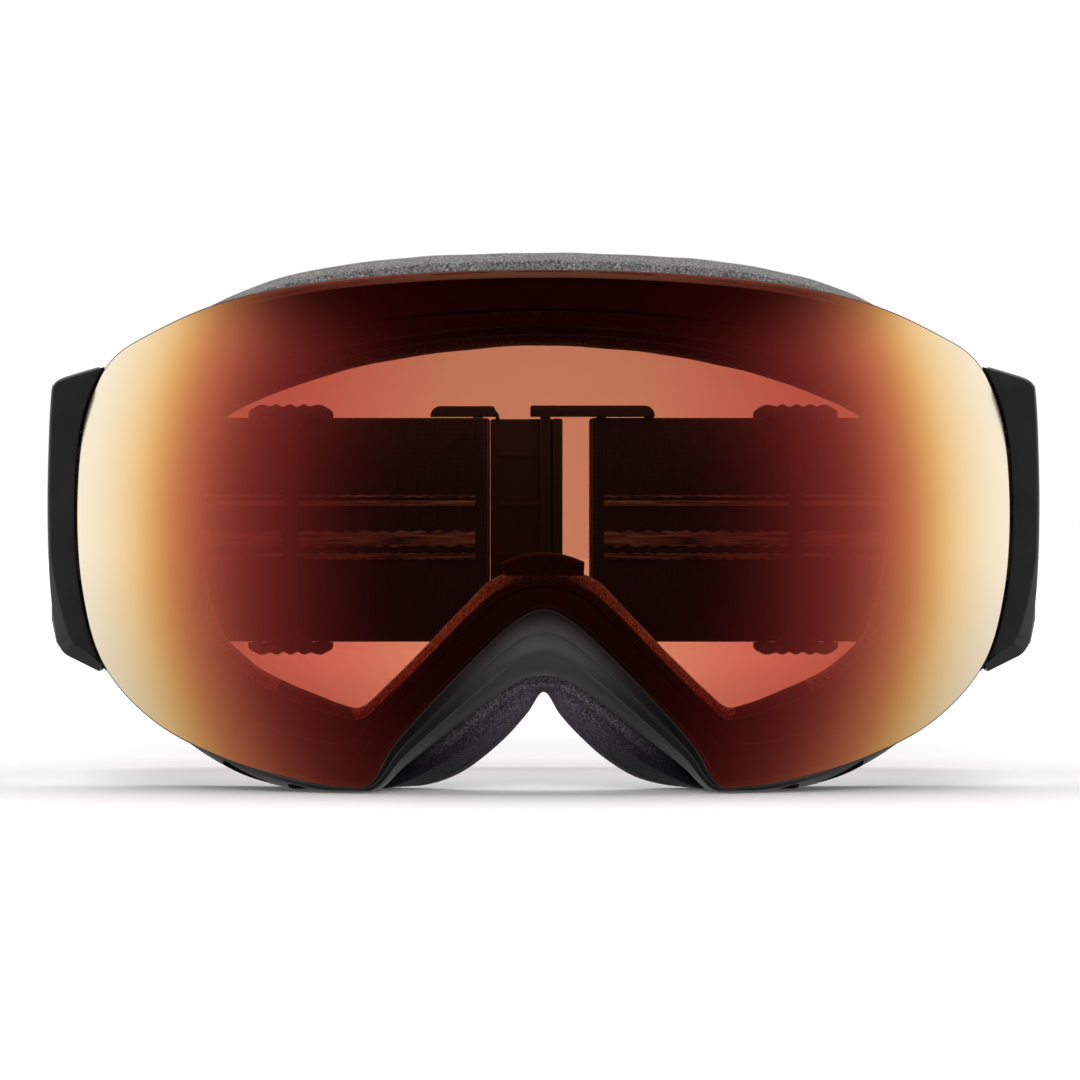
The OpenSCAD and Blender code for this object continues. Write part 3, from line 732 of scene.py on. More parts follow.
def rod(name, start, end, radius, surface, side=1, droop=False, turns=40, chamfer=0.15):
    """Round bar between two points, with its ends eased."""
    start, end = np.array(start, float), np.array(end, float)
    along = units((end - start)[None])[0]
    across = units(np.cross(along, [0.3, 1, 0.2])[None])[0]
    third = np.cross(along, across)
    angles = np.linspace(0, 2 * math.pi, turns, endpoint=False)[:, None]
    circle = np.cos(angles) * across + np.sin(angles) * third
    stops = [(start, radius - chamfer), (start + along * chamfer, radius),
             (end - along * chamfer, radius), (end, radius - chamfer)]
    sections = [mirrored(p + circle * r, side, droop) for p, r in stops]
    return tube(name, sections, surface)


def strap_bar(x, y, reach, radius, surface, side=1):
    """Bar that a strap goes round, reaching as far above the strap's middle line as below it."""
    return rod("bar", [x, y, -reach], [x, y, reach], radius, surface, side, True)


def finish_piece(made, body, slot, *nodes, fill=None):
    """Says what a piece moves with and hides its CAD nodes; its finish (slot) and how full it is if padded
    (fill) are not used.
    """
    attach(made, body)
    if nodes:
        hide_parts(*nodes)


def bend_piece(made, bodies, start, end, slot, *nodes):
    """Bakes a piece's placement into its mesh and hides its CAD nodes; which two bodies it bends between
    (bodies), where (start, end) and its finish (slot) are not used.
    """
    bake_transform(made)
    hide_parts(*nodes)


# ---------------------------------------------------------------- lens
def inset(loop, distance):
    """The outline moved inwards by a distance."""
    run = np.roll(loop, -1, axis=0) - np.roll(loop, 1, axis=0)
    inward = units(np.column_stack([-run[:, 1], run[:, 0]]))
    if np.sum(inward * (loop.mean(axis=0) - loop)) < 0:
        inward = -inward
    return loop + inward * distance


DOME_MIDDLE_Z = 62


def domed_plate(name, edge, off, thickness, surfaces):
    """Part of a spherical shell with a polished round rim. Materials: front, back and rim."""
    rim_r = thickness * 0.16
    centre = np.array([0.0, DOME_MIDDLE_Z])
    quarter = [(1 - math.sin(a), 1 - math.cos(a)) for a in np.linspace(0, math.pi / 2, 5)]
    rim = [on_lens(inset(edge, rim_r * d), off + rim_r * b) for d, b in quarter]
    rim += [on_lens(inset(edge, rim_r * d), off + thickness - rim_r * b) for d, b in quarter[::-1]]
    base = inset(edge, rim_r)
    shares = 1 - np.linspace(0, 1, 26)[1:-1] ** 1.15
    front = [on_lens(centre + (base - centre) * s, off) for s in shares[::-1]]
    back = [on_lens(centre + (base - centre) * s, off + thickness) for s in shares]
    rows = front + rim + back
    n = len(edge)
    points = np.vstack([*rows, on_lens(centre[None], off), on_lens(centre[None], off + thickness)])
    faces, kinds = [], []
    for k in range(len(rows) - 1):
        kind = 0 if k < len(front) + 1 else (1 if k >= len(front) + len(rim) - 2 else 2)
        for i in range(n):
            j = (i + 1) % n
            faces.append((k * n + i, k * n + j, (k + 1) * n + j, (k + 1) * n + i))
            kinds.append(kind)
    last = len(rows) - 1
    for i in range(n):
        j = (i + 1) % n
        faces.append((i, j, len(rows) * n))
        faces.append((last * n + i, last * n + j, len(rows) * n + 1))
        kinds += [0, 1]
    made = mesh_object(name, points, faces, surfaces, kinds, sharp=0)
    shares = np.concatenate([shares[::-1], np.ones(len(rim)), shares])
    inward = [np.full(n, rim_r) + lengths(base - centre)[:, 0] * (1 - s) for s in shares]
    inward = np.concatenate([*inward, [RIM_R, RIM_R]])
    store(made, RIM_DISTANCE, inward)
    smooth_dome(made, len(front) * n, (len(front) + len(rim)) * n)
    return made


def smooth_dome(made, rim_start, rim_end):
    """Exact sphere normals on the two faces, so that reflections run smoothly. The rim keeps its own."""
    mesh = made.data
    points, normals = points_of(mesh)
    centre = placed([[0, LENS_R, LENS_Z]])[0]
    outward = units(points - centre)
    facing = np.sign(np.sum(normals * outward, axis=1))[:, None]
    sphere = outward * np.where(facing == 0, 1, facing)
    free = np.ones(len(points), bool)
    free[rim_start + len(lens_edge):rim_end - len(lens_edge)] = False
    normals[free] = sphere[free]
    mesh.normals_split_custom_set_from_vertices(normals.tolist())


def lens():
    outer = domed_plate("outer_lens_shell", lens_edge, 0, OUTER_T, ["mirror_lens", "lens_back", "lens_rim"])
    finish_piece(outer, "lens", "mirror_lens", "outer_lens")
    inner_edge = between(lens_edge, seat_edge, GASKET + 0.02)
    inner = domed_plate("inner_lens_shell", inner_edge, INNER_OFF, INNER_T, ["inner_lens"] * 3)
    finish_piece(inner, "lens", "inner_lens", "inner_lens")

    def band(name, from_share, to_share, front, back, surface, radius):
        out, into = between(lens_edge, seat_edge, from_share), between(lens_edge, seat_edge, to_share)
        rows = [on_lens(out, front), on_lens(into, front), on_lens(into, back), on_lens(out, back)]
        return ring(name, rounded(rows, [radius] * 4), surface)

    gasket = band("lens_gasket_foam", GASKET, 0.98, OUTER_T + 0.02, INNER_OFF - 0.05, "gasket_foam", 0.5)
    finish_piece(gasket, "lens", "gasket_foam", "lens_gasket", fill=0.9)
    carrier = band("lens_carrier_ring", OVERHANG, CARRIER, OUTER_T + 0.02, SEAT_OFF - 0.12,
                   "carrier_plastic", 0.3)
    finish_piece(carrier, "lens", "carrier_plastic", "lens_carrier")


# ---------------------------------------------------------------- frame and foam
LIP_T = 1.8
VENT_X = [0, 15, 30, 45]
VENT_SIZE = (10.5, 6.5, 9)
BOTTOM_VENT_X = [42, 54]
BOTTOM_VENT_SIZE = (8.5, 5.5, 7)
# Share of the wall from its rear edge forward, width as a share too, and height in millimetres
RIDGES = [(0.71, 0.04, 0.6), (0.87, 0.035, 0.75)]


def frame_body():
    """Soft moulded frame: flange behind the lens, wall with two soft ridges by the nose, and a lip
    under the foam."""
    front = between(lens_edge, seat_edge, OVERHANG)
    front_in = between(lens_edge, seat_edge, OVERHANG + 0.17)
    bulge = between(front, frame_rear, 0.9)
    bulge_in = between(bulge, face_opening, 0.13)
    rear_in = between(frame_rear, face_opening, 0.13)
    lip = between(frame_rear, face_opening, 0.85)
    front_row = on_lens(front, FLANGE_OFF)
    rear_row = on_rear(frame_rear, 0)
    mid_depth = front_row[:, 1] + (rear_row[:, 1] - front_row[:, 1]) * 0.45
    mid_row = at_depth(bulge, mid_depth)
    wall = outer_wall(front_row, mid_row, rear_row)
    inner = [on_lens(seat_edge, FLANGE_OFF), on_lens(seat_edge, FLANGE_BACK), on_lens(front_in, FLANGE_BACK),
             at_depth(bulge_in, mid_depth), on_rear(rear_in, -LIP_T), on_rear(lip, -LIP_T), on_rear(lip, 0)]
    rows = inner + wall
    radii = [0.6, 0.6, 1.5, 3, 1.5, 0.6, 0.6, 0.8] + [0] * (len(wall) - 2) + [0.9]
    made = ring("frame_shell", rounded(rows, radii), "soft_frame")
    cut_vents(made)
    flatten_below(made, 0)
    finish_piece(made, "frame", "soft_frame", "frame_body")


def outer_wall(front, middle, rear):
    """Rows from the frame's rear edge forward to its flange, with the ridges pressed out of them."""
    rows = []
    loop_run = np.roll(middle, -1, axis=0) - np.roll(middle, 1, axis=0)
    away = units(np.cross(loop_run, rear - front))
    if np.sum(away * (middle - middle.mean(axis=0))) < 0:
        away = -away
    x, z = middle[:, 0], middle[:, 2]
    by_nose = (np.clip((44 - z) / 14, 0, 1) * np.clip((52 - np.abs(x)) / 16, 0, 1))[:, None]
    control = middle * 2 - (front + rear) / 2
    for t in [*np.linspace(0, 0.54, 9), *np.linspace(0.57, 1, 22)]:
        point = (1 - t) ** 2 * rear + 2 * t * (1 - t) * control + t**2 * front
        lift = sum(height * math.exp(-((t - at) / wide) ** 2) for at, wide, height in RIDGES)
        rows.append(point + away * lift * by_nose)
    return rows


def wall_middle(front, rear):
    """Depth halfway from the back of the frame's flange to the front of its lip."""
    return (lens_depth(front, FLANGE_BACK) + rear_depth(rear) - LIP_T) / 2


def cut_vents(made):
    """Slots through the top and the bottom of the wall, with rounded corners."""
    middle = wall_middle(between(lens_edge, seat_edge, OVERHANG), frame_rear)

    def cutter(x, top, size, shift):
        half = [i for i in range(len(frame_rear)) if (frame_rear[i, 1] > 50) == top]
        i = min(half, key=lambda k: abs(frame_rear[k, 0] - x))
        px, py, pz = x, middle[i] + shift, frame_rear[i, 1]
        w, d, h = (s / 2 for s in size)
        corners = arc_corners(px, py, w, d, 1.4)
        return prism("cutter", corners, pz - h, pz + h, "soft_frame", seen_from_above(), bevel=0)

    cutters = [cutter(s * x, True, VENT_SIZE, 0) for x in VENT_X for s in (-1, 1) if x > 0 or s > 0]
    cutters += [cutter(s * x, False, BOTTOM_VENT_SIZE, 0.5) for x in BOTTOM_VENT_X for s in (-1, 1)]
    carve(made, joined("cutters", cutters))


def arc_corners(x, y, w, d, r, steps=5):
    """Rectangle with round corners, as an outline."""
    centres = [(x + w - r, y + d - r, 0), (x - w + r, y + d - r, 90), (x - w + r, y - d + r, 180),
               (x + w - r, y - d + r, 270)]
    turns = [math.radians(90 * k / steps) for k in range(steps + 1)]
    return [[cx + r * math.cos(math.radians(a) + turn), cy + r * math.sin(math.radians(a) + turn)]
            for cx, cy, a in centres for turn in turns]


def foam_layer(name, from_share, to_share, front, back, crown, surface, slot, node, fill):
    """One layer of the face foam: flat where it is glued, its outer edge full and round."""
    low, high = between(frame_rear, foam_edge, from_share), between(frame_rear, foam_edge, to_share)
    inner = between(frame_rear, face_opening, 0.97)
    rows = [on_rear(low, front)]
    rows += [on_rear(between(low, inner, k), front) for k in (0.33, 0.67)]
    rows += [on_rear(inner, front)]
    for k in np.linspace(0, 1, 9):
        swell = crown * math.sin(math.pi * k) ** 0.6 if 0 < k < 1 else 0
        rows.append(on_rear(between(inner, high, k), back + swell))
    radii = [0.35, 0, 0, 3 if front < 1 else 0.9, 1.4, 0, 0, 0, 0, 0, 0, 0, 0.35 if crown == 0 else 1.4]
    made = ring(name, rounded(rows, radii), surface, sharp=0)
    lumpy(made, 0.12, 4.0)
    flatten_below(made, 0)
    at = points_of(made.data)[0].reshape(len(frame_rear), -1, 3)[:, :, [0, 2]] / MM
    past = np.sum((at - frame_rear[:, None]) * units(foam_edge - frame_rear)[:, None], axis=2)
    store(made, PAST_FRAME, past.ravel())
    finish_piece(made, "frame", slot, node, fill=fill)


def lumpy(made, height, size):
    """Slow unevenness of a soft surface, as waves that cross, so that it is the same each time."""
    points, normals = points_of(made.data)
    x, y, z = (points / MM).T
    wave = (np.sin(x / size + 1.3 * np.sin(z / size * 0.8)) + np.sin(z / size * 1.3 + y)
            + np.sin((x - z) / size * 2.1)) / 3
    points += normals * wave[:, None] * height * MM
    made.data.vertices.foreach_set("co", points.ravel())
    made.data.update()


def flatten_below(made, level):
    """Holds a piece on the surface that the goggles stand on."""
    for vertex in made.data.vertices:
        vertex.co.z = max(vertex.co.z, level)
    made.data.update()


def vent_foams():
    """Thin reticulated foam behind the vents, following the wall."""
    outer, inner = between(frame_rear, face_opening, 0.31), between(frame_rear, face_opening, 0.45)
    n = len(outer)

    def strip(name, first, last):
        def row(loop, side):
            return at_depth(loop, wall_middle(loop, loop) + side * 4)
        rows = rounded([row(outer, -1), row(inner, -1), row(inner, 1), row(outer, 1)], [0.5] * 4)
        sections = np.stack([r[np.arange(first, last + 1) % n] for r in rows], axis=1)
        return tube(name, sections, "vent_foam")

    top = strip("vent_foam_top_strip", -41, 41)
    finish_piece(top, "frame", "vent_foam", "vent_foam_top", fill=0.8)
    bottom = joined("vent_foam_bottom_strips", [strip("a", 125, 151), strip("b", n - 151, n - 125)])
    finish_piece(bottom, "frame", "vent_foam", "vent_foam_bottom", fill=0.8)


def nose_pad():
    """Soft tab over the nose bridge, arched on top and at both ends."""
    xs = np.linspace(-1, 1, 25)
    sections = []
    for y in (8.4, 8.6, 9.2, 10.5, 16, 22.5, 23.6, 24.2, 24.4):
        ease = 1 - 0.16 * max(0.0, 1 - (min(y - 8.4, 24.4 - y)) / 1.6) ** 2
        top = [[7.3 * u * ease, y, 38.75 + (4.2 - 1.7 * u * u) * ease] for u in xs]
        sections.append(top + [[-p[0] * 0.98, y, 38.8] for p in top[::6]])
    made = tube("nose_bridge_cushion", sections, "gasket_foam")
    finish_piece(made, "frame", "soft_frame", "nose_bridge_pad", fill=0.8)


def frame_parts():
    frame_body()
    foam_layer("foam_layer_base", 0.55, 0.9, 0.02, FOAM_LAYER, 0, "face_foam", "face_foam", "foam_base", 0.9)
    foam_layer("foam_layer_middle", 0.9, 1, FOAM_LAYER + 0.02, 2 * FOAM_LAYER, 0, "face_foam", "face_foam",
               "foam_middle", 0.85)
    foam_layer("fleece_layer", 1, 0.8, 2 * FOAM_LAYER + 0.02, FOAM_T - 0.8, 1.3, "fleece", "fleece",
               "face_fleece", 0.8)
    vent_foams()
    nose_pad()


# ---------------------------------------------------------------- temple parts
HINGE = (87.2, 57)
HINGE_R = 2.6
KNUCKLES = [(28.2, 34.8), (65.2, 71.8)]
LUG_T = 3
LUG_GAP = 0.2
LUG_RANGE = (26, 74.2)
SLAB = [[84.2, 75.4], [81, 76.3], [76, 76.8], [79.3, 66], [80.8, 51], [79.8, 36], [76, 21.4],
        [81, 21.6], [84.2, 23]]
SLAB_Y = (45, 56.6)
LEVER = [[45.7, 61], [50.3, 61], [51, 50], [49.5, 46.5], [45.6, 41.4], [42.8, 41.4], [42.8, 44],
         [45.2, 47.5]]
HOUSING_Y = (41, 54.2)
HOUSING_EDGE = [[81.2, 76.7], [85, 75.6], [88, 74.6], [89.3, 73.6], [89.8, 72], [90.25, 64], [90.5, 51],
                [90.15, 38], [89.3, 29], [88.7, 26.3], [87.5, 24.4], [85, 23.05], [81.2, 21.15]]
HOUSING_T = 1.4
ARM_PATH = [[88.2, 58], [89, 59.8], [89.8, 63], [90.05, 69], [89.7, 76], [88.85, 84.1]]
ARM_TOP = [(58, 74.1), (60, 73.9), (62, 73.7), (82, 73.7), (84.1, 72.9)]
ARM_FOOT = [(58, 25.6), (60, 25.6), (62, 25.4), (82, 25), (84.1, 26.1)]
ARM_T = 2.8
ARM_PLATE_END = 77.4
EAR_START = 76.2


def housing():
    """Smooth wall beside the lens's right end, round the lever and the hinge. Its facet widens downwards."""
    edge = smooth_path(HOUSING_EDGE, 10)
    inward = -path_normals(edge)
    facet = np.interp(edge[:, 1], [21, 26, 33, 42, 77], [2.2, 2.8, 1.7, 0.5, 0.4])[:, None]
    front, back = HOUSING_Y
    n_right = len(lens_edge) // 2
    right = lens_edge[:n_right][lens_edge[:n_right, 1] > 12]
    right = right[(right[:, 0] > 60)][::-1]
    beside = np.column_stack([np.interp(edge[:, 1], right[:, 1], right[:, 0]) + 0.5, edge[:, 1]])
    beside[:, 0] = np.minimum(beside[:, 0], (edge + inward * (facet + 0.3))[:, 0])
    rows = [at_depth(edge, back), at_depth(edge, front + 0.6 + facet[:, 0] * 0.9),
            at_depth(edge + inward * facet, front), at_depth(beside, front),
            at_depth(beside, front + HOUSING_T), at_depth(edge + inward * 1.5, front + HOUSING_T),
            at_depth(edge + inward * HOUSING_T, back)]
    rows = rounded(rows, [0.3, 0.35, 0.35, 0.3, 0.2, 0.3, 0.2], 3)
    wall = tube("housing", np.stack(rows, axis=1), "outrigger_plastic", sharp=60)
    window = arc_corners(48.7, 52.5, 4.1, 10.5, 1.6)
    window = prism("window", window, 86.8, 93, "outrigger_plastic", seen_from_side(1), bevel=0)
    toe_room = box_prism("toe_room", (80, 87.2), (front + 0.6, front + 2.6), (40, 46), "outrigger_plastic",
                         bevel=0)
    carve(wall, joined("cutters", [window, toe_room]))
    return wall


def flipped(made, side):
    """The same piece on the other side of the face."""
    if side < 0:
        made.data.transform(Matrix.Scale(-1, 4, (1, 0, 0)))
        made.data.flip_normals()
    return made


def temple_plate(word, side):
    """Plate behind the frame's side with the housing on it and two lugs round each of the arm's knuckles."""
    pieces = [prism("slab", SLAB, *SLAB_Y, "hard_plastic", seen_from_front(side), 0.45),
              flipped(housing(), side)]
    x, y = HINGE
    web = [[83.4, y - HINGE_R], [x, y - HINGE_R], [x, y + 0.8], [83.4, 56.4]]
    for bottom, top in KNUCKLES:
        for low, high in ((max(LUG_RANGE[0], bottom - LUG_T - LUG_GAP), bottom - LUG_GAP),
                          (top + LUG_GAP, min(LUG_RANGE[1], top + LUG_T + LUG_GAP))):
            pieces.append(rod("lug", [x, y, low], [x, y, high], HINGE_R, "hard_plastic", side))
            pieces.append(prism("web", web, low + 0.1, high - 0.1, "hard_plastic",
                                seen_from_above(side), 0.2))
    made = joined("temple_plate_body_" + word, pieces)
    finish_piece(made, "frame", "hard_plastic", "temple_plate_" + word)


def release_lever(word, side):
    """Lever in the housing's window, with a toe at its front end and three ribs to press."""
    plate = prism("plate", LEVER, 84.5, 86.6, "lever_plastic", seen_from_side(side), 0.5)
    toe = box_prism("toe", (82.8, 84.9), (42.8, 44.5), (41.5, 43.9), "lever_plastic", side, bevel=0.3)
    ribs = [box_prism("rib", (86.3, 87.2), (45.9, 50.1), (z, z + 0.8), "lever_plastic", side, bevel=0.25)
            for z in (57.4, 58.8, 60.2)]
    made = joined("release_lever_body_" + word, [plate, toe, *ribs])
    finish_piece(made, "lever_" + word, "lever_plastic", "release_lever_" + word)


LEAF = [[53.3, 53.4], [53.3, 56], [52.4, 58.5], [50.9, 60.6]]
LEAF_SECTION = [(84.3, -0.2), (85.7, -0.2), (85.8, -0.1), (85.8, 0.1), (85.7, 0.2), (84.3, 0.2),
                (84.2, 0.1), (84.2, -0.1)]


def lever_spring(word, side):
    """Leaf spring behind the lever, its foot in the temple plate and its tip at the lever."""
    path = smooth_path(LEAF, 8)
    sections = [[[side * x, *(p + n * off)] for x, off in LEAF_SECTION]
                for p, n in zip(path, path_normals(path))]
    made = tube("lever_leaf_" + word, sections, "pin_steel")
    bend_piece(made, ("frame", "lever_" + word), (side * 85, 53.3, 55), (side * 85, 50.9, 60.6),
               "pin_steel", "lever_spring_" + word)


def arm_section(at, outward, foot, top):
    """Section of the outrigger: a flat inner face, and an outer one with broad chamfers."""
    half = ARM_T / 2
    return across(at, outward, [
        (-half, foot + 0.5), (-half + 0.4, foot), (half - 1.5, foot), (half - 0.9, foot + 0.7),
        (half, foot + 5.2), (half, top - 2.8), (half - 0.6, top - 0.5), (half - 1.1, top),
        (-half + 0.4, top), (-half, top - 0.5)])


def outrigger(word, side):
    """Curved arm from the hinge back to the strap's bar, with an ear at each end of the bar."""
    path = smooth_path(ARM_PATH, 8)
    tops = np.interp(path[:, 1], *zip(*ARM_TOP))
    feet = np.interp(path[:, 1], *zip(*ARM_FOOT))
    stations = list(zip(path, -path_normals(path), feet, tops))

    def solid(name, sections, *rounding):
        made = tube(name, [mirrored(s, side) for s in sections], "outrigger_plastic", sharp=0)
        round_edges(made, *rounding)
        return made

    def ear_section(at, outward, low, high):
        corners = ((-1, low), (1, low), (1, high), (-1, high))
        return across(at, outward, [(end * ARM_T / 2, z) for end, z in corners])

    pieces = [solid("plate", [arm_section(*at) for at in stations if at[0][1] < ARM_PLATE_END], 0.28, 2, 20)]
    ends = [at for at in stations if at[0][1] > EAR_START]
    slot_low, slot_high = STRAP_Z - STRAP_W / 2 - 0.35, STRAP_Z + STRAP_W / 2 + 0.25
    pieces.append(solid("ear", [ear_section(p, n, foot, slot_low) for p, n, foot, _ in ends], 0.5))
    pieces.append(solid("ear", [ear_section(p, n, slot_high, top) for p, n, _, top in ends], 0.5))
    pieces.append(strap_bar(*ARM_BAR, STRAP_W / 2 + 0.8, ARM_BAR_R, "outrigger_plastic", side))
    for low, high in KNUCKLES:
        pieces.append(rod("knuckle", [*HINGE, low], [*HINGE, high], HINGE_R, "outrigger_plastic", side))
        turned = [[HINGE[0] + a * 0.342 - b * 0.94, HINGE[1] + a * 0.94 + b * 0.342]
                  for a, b in ((1.8, -1.2), (4.4, -1.2), (4.4, 1.2), (1.8, 1.2))]
        pieces.append(prism("block", turned, low + 0.1, high - 0.1, "outrigger_plastic",
                            seen_from_above(side), 0.2))
    made = joined("outrigger_body_" + word, pieces)
    finish_piece(made, "arm_" + word, "outrigger_plastic", "outrigger_" + word)


# ---------------------------------------------------------------- strap
def arc(centre, radius, start, end, steps):
    angles = np.radians(np.linspace(start, end, steps + 1))
    return np.column_stack([centre[0] + radius * np.cos(angles), centre[1] + radius * np.sin(angles)])


STRAP_CORNER = arc((CORNER_X, STRAP_Y - SIDE_X + CORNER_X), SIDE_X - CORNER_X, 0, 90, 44)[1:]


def resampled(path, step):
    """The same path with even spacing."""
    path = np.array(path, float)
    distance = np.concatenate([[0], np.cumsum(np.linalg.norm(np.diff(path, axis=0), axis=1))])
    marks = np.linspace(0, distance[-1], max(2, int(distance[-1] / step)) + 1)
    return np.column_stack([np.interp(marks, distance, path[:, k]) for k in (0, 1)]), marks


def ribbon(name, path, thickness, low, high, surface, side, off=0.0, step=0.8, edge=None, wavy=None):
    """Flat band along a path seen from above. wavy gives how far its upper and lower edges wander."""
    path, marks = resampled(path, step)
    half = thickness / 2
    edge = half * 0.8 if edge is None else edge
    sections, uvs = [], []
    for p, n, u in zip(path, path_normals(path), marks):
        bottom, top = (low, high) if wavy is None else (low + wavy(u, 0), high + wavy(u, 1))
        shape = []
        for h, start, end, turn in ((half, bottom, top, edge), (-half, top, bottom, -edge)):
            shape += [(-h, start + turn), (-h * 0.6, start + turn * 0.25), (0, start),
                      (h * 0.6, start + turn * 0.25)]
            shape += [(h, z) for z in np.linspace(start + turn, end - turn, 5)[:-1]]
        sections.append(across(p, n, [(off + d, z) for d, z in shape]))
        uvs += [(u, z) for _, z in shape]
    sections = np.array(sections)
    flat = mirrored(sections.reshape(-1, 3), side, True).reshape(sections.shape)
    return tube(name, flat, surface, uvs=uvs, sharp=60)


def strap_run(word):
    """Middle line of a strap half: its sewn end, round the outrigger's bar, along the head and
    round the clip's bar."""
    bar_x = FOLD_X[word]
    loop_r = ARM_BAR_R + FOLD_GAP + STRAP_T / 2
    start = [[SIDE_X - STRAP_T - 0.1, 99.5], [SIDE_X - STRAP_T - 0.1, 96], [87.2, 90]]
    return np.vstack([smooth_path(start, 6)[:-1], arc(ARM_BAR, loop_r, 180, 360, 24)[1:-1],
                      smooth_path([[91, 89.5], [SIDE_X, 97], [SIDE_X, 110]], 6), STRAP_CORNER,
                      [[40, STRAP_Y], [bar_x + 4, STRAP_Y]],
                      arc((bar_x, BAR_Y), FOLD_R, -90, -270, 24), [[bar_x + 1, BAR_Y + FOLD_R]]])


def strap_tail_run(word):
    bar_x = FOLD_X[word]
    bar = (SLIDER_X - SLIDER_PITCH, TAIL_BAR_Y)
    return np.vstack([[[bar_x + 1, BAR_Y + FOLD_R], [bar_x + 8, BAR_Y + FOLD_R + 0.1], [36, TAIL_Y - 0.1]],
                      arc(bar, FOLD_R, 90, -90, 24), [[36.5, TAIL_BAR_Y - FOLD_R]]])


STITCH_ROWS, STITCHES = 3, 34
STITCH_Y, STITCH_PITCH = 94.2, 1.23


def stitches(word, side):
    """Bar tacks that hold the strap's end, as short raised threads in a zigzag."""
    threads = []
    for row in range(STITCH_ROWS):
        y = STITCH_Y + row * 1.5
        for k in range(STITCHES):
            z = -STRAP_W / 2 + 2.2 + k * STITCH_PITCH
            tilt = 0.45 if k % 2 else -0.45
            for x in (SIDE_X + STRAP_T / 2 + 0.04, SIDE_X - STRAP_T * 1.5 - 0.14):
                ends = ([x, y - tilt, z], [x, y + tilt, z + 1.1])
                threads.append(rod("thread", *ends, 0.17, "stitching", side, True, turns=6, chamfer=0.08))
    made = joined("strap_stitches_" + word, threads)
    finish_piece(made, "arm_" + word, "strap_webbing")


# Where the strap's side run starts and stops following the outrigger
STRAP_BEND = ((0, 100, STRAP_Z), (0, 140, STRAP_Z))

# The print's lines from the strap's middle line: lower edge, upper edge and how far they wander
GRIP_LINES = [(6.45, 6.9, 0.14), (4.7, 5.8, 0.05), (-6.0, -4.8, 0.2)]
GRIP_BAND = (-3.4, -0.4)


def grip_run(word):
    return np.vstack([[[SIDE_X, 100.6], [SIDE_X, 110]], STRAP_CORNER,
                      [[40, STRAP_Y], [FOLD_X[word] + 0.5, STRAP_Y]]])


def grips(word, side):
    """Silicone printed on the head's side: thin wavy lines above and below a streaky band."""
    off = (STRAP_T + GRIP_T) / 2
    run = grip_run(word)

    def wave(size, pitch):
        return lambda u, k: size * math.sin(u / pitch * 2 * math.pi + k) * (0.7 + 0.3 * math.sin(u * 0.9))

    def printed(thickness, low, high, back, edge, wavy):
        return ribbon("print", run, thickness, low, high, "grip_silicone", side, off - back,
                      edge=edge, wavy=wavy)

    lines = [printed(GRIP_T, low, high, 0, 0.12, wave(size, 2.6)) for low, high, size in GRIP_LINES]
    lines.append(printed(GRIP_T * 0.45, *GRIP_BAND, GRIP_T * 0.28, 0.1, wave(0.35, 3.7)))
    made = joined("grip_print_" + word, lines)
    bend_piece(made, ("arm_" + word, "frame"), *STRAP_BEND, "grip_silicone", "grip_strip_" + word)


def straps(word, side):
    def web(name, run):
        return ribbon(name + word, run, STRAP_T, -STRAP_W / 2, STRAP_W / 2, "strap_webbing", side)

    bend_piece(web("strap_webbing_", strap_run(word)), ("arm_" + word, "frame"), *STRAP_BEND,
               "strap_webbing", "strap_" + word, "strap_loop_" + word)
    bend_piece(web("strap_tail_webbing_", strap_tail_run(word)), ("frame", "adjuster_" + word),
               (side * (FOLD_X[word] + 1), TAIL_Y, TAIL_Z), (side * 42, TAIL_Y, TAIL_Z),
               "strap_webbing", "strap_tail_" + word)
    stitches(word, side)


# ---------------------------------------------------------------- sliders and clip
HEAD_FACE_Y = STRAP_Y - STRAP_T / 2
INNER_BAR_Y = HEAD_FACE_Y - GRIP_T - 0.3 - BAR_R - 0.2
OUTER_BAR_Y = HEAD_FACE_Y + STRAP_T + FOLD_GAP + BAR_R
REACH = RAIL[0] + 0.5
WAVE_PITCH = 2.77


def slider(word, side):
    """Three-bar slider: a waisted middle bar on the head's side, two outer bars, and wavy grips above
    and below."""
    pieces = [strap_bar(x, y, RAIL[0] + 0.6, BAR_R, "buckle_plastic", side) for x, y in
              ((SLIDER_X - SLIDER_PITCH, TAIL_BAR_Y), (SLIDER_X + SLIDER_PITCH, OUTER_BAR_Y))]
    turns = np.linspace(0, 2 * math.pi, 28, endpoint=False)
    squared = [[math.copysign(abs(v) ** 0.6, v) for v in (math.cos(a), math.sin(a))] for a in turns]
    waist = []
    for z in np.linspace(-REACH, REACH, 61):
        half = 1.5 + 4.2 * max(0.0, 1 - (REACH - abs(z)) / 5.5) ** 2.6
        section = [[SLIDER_X + half * c, INNER_BAR_Y + 1.15 * s, z] for c, s in squared]
        waist.append(mirrored(section, side, True))
    pieces.append(tube("waist", waist, "buckle_plastic"))
    pieces += [slider_grip(side, up) for up in (1, -1)]
    made = joined("slider_body_" + word, pieces)
    finish_piece(made, "adjuster_" + word, "buckle_plastic", "slider_" + word)


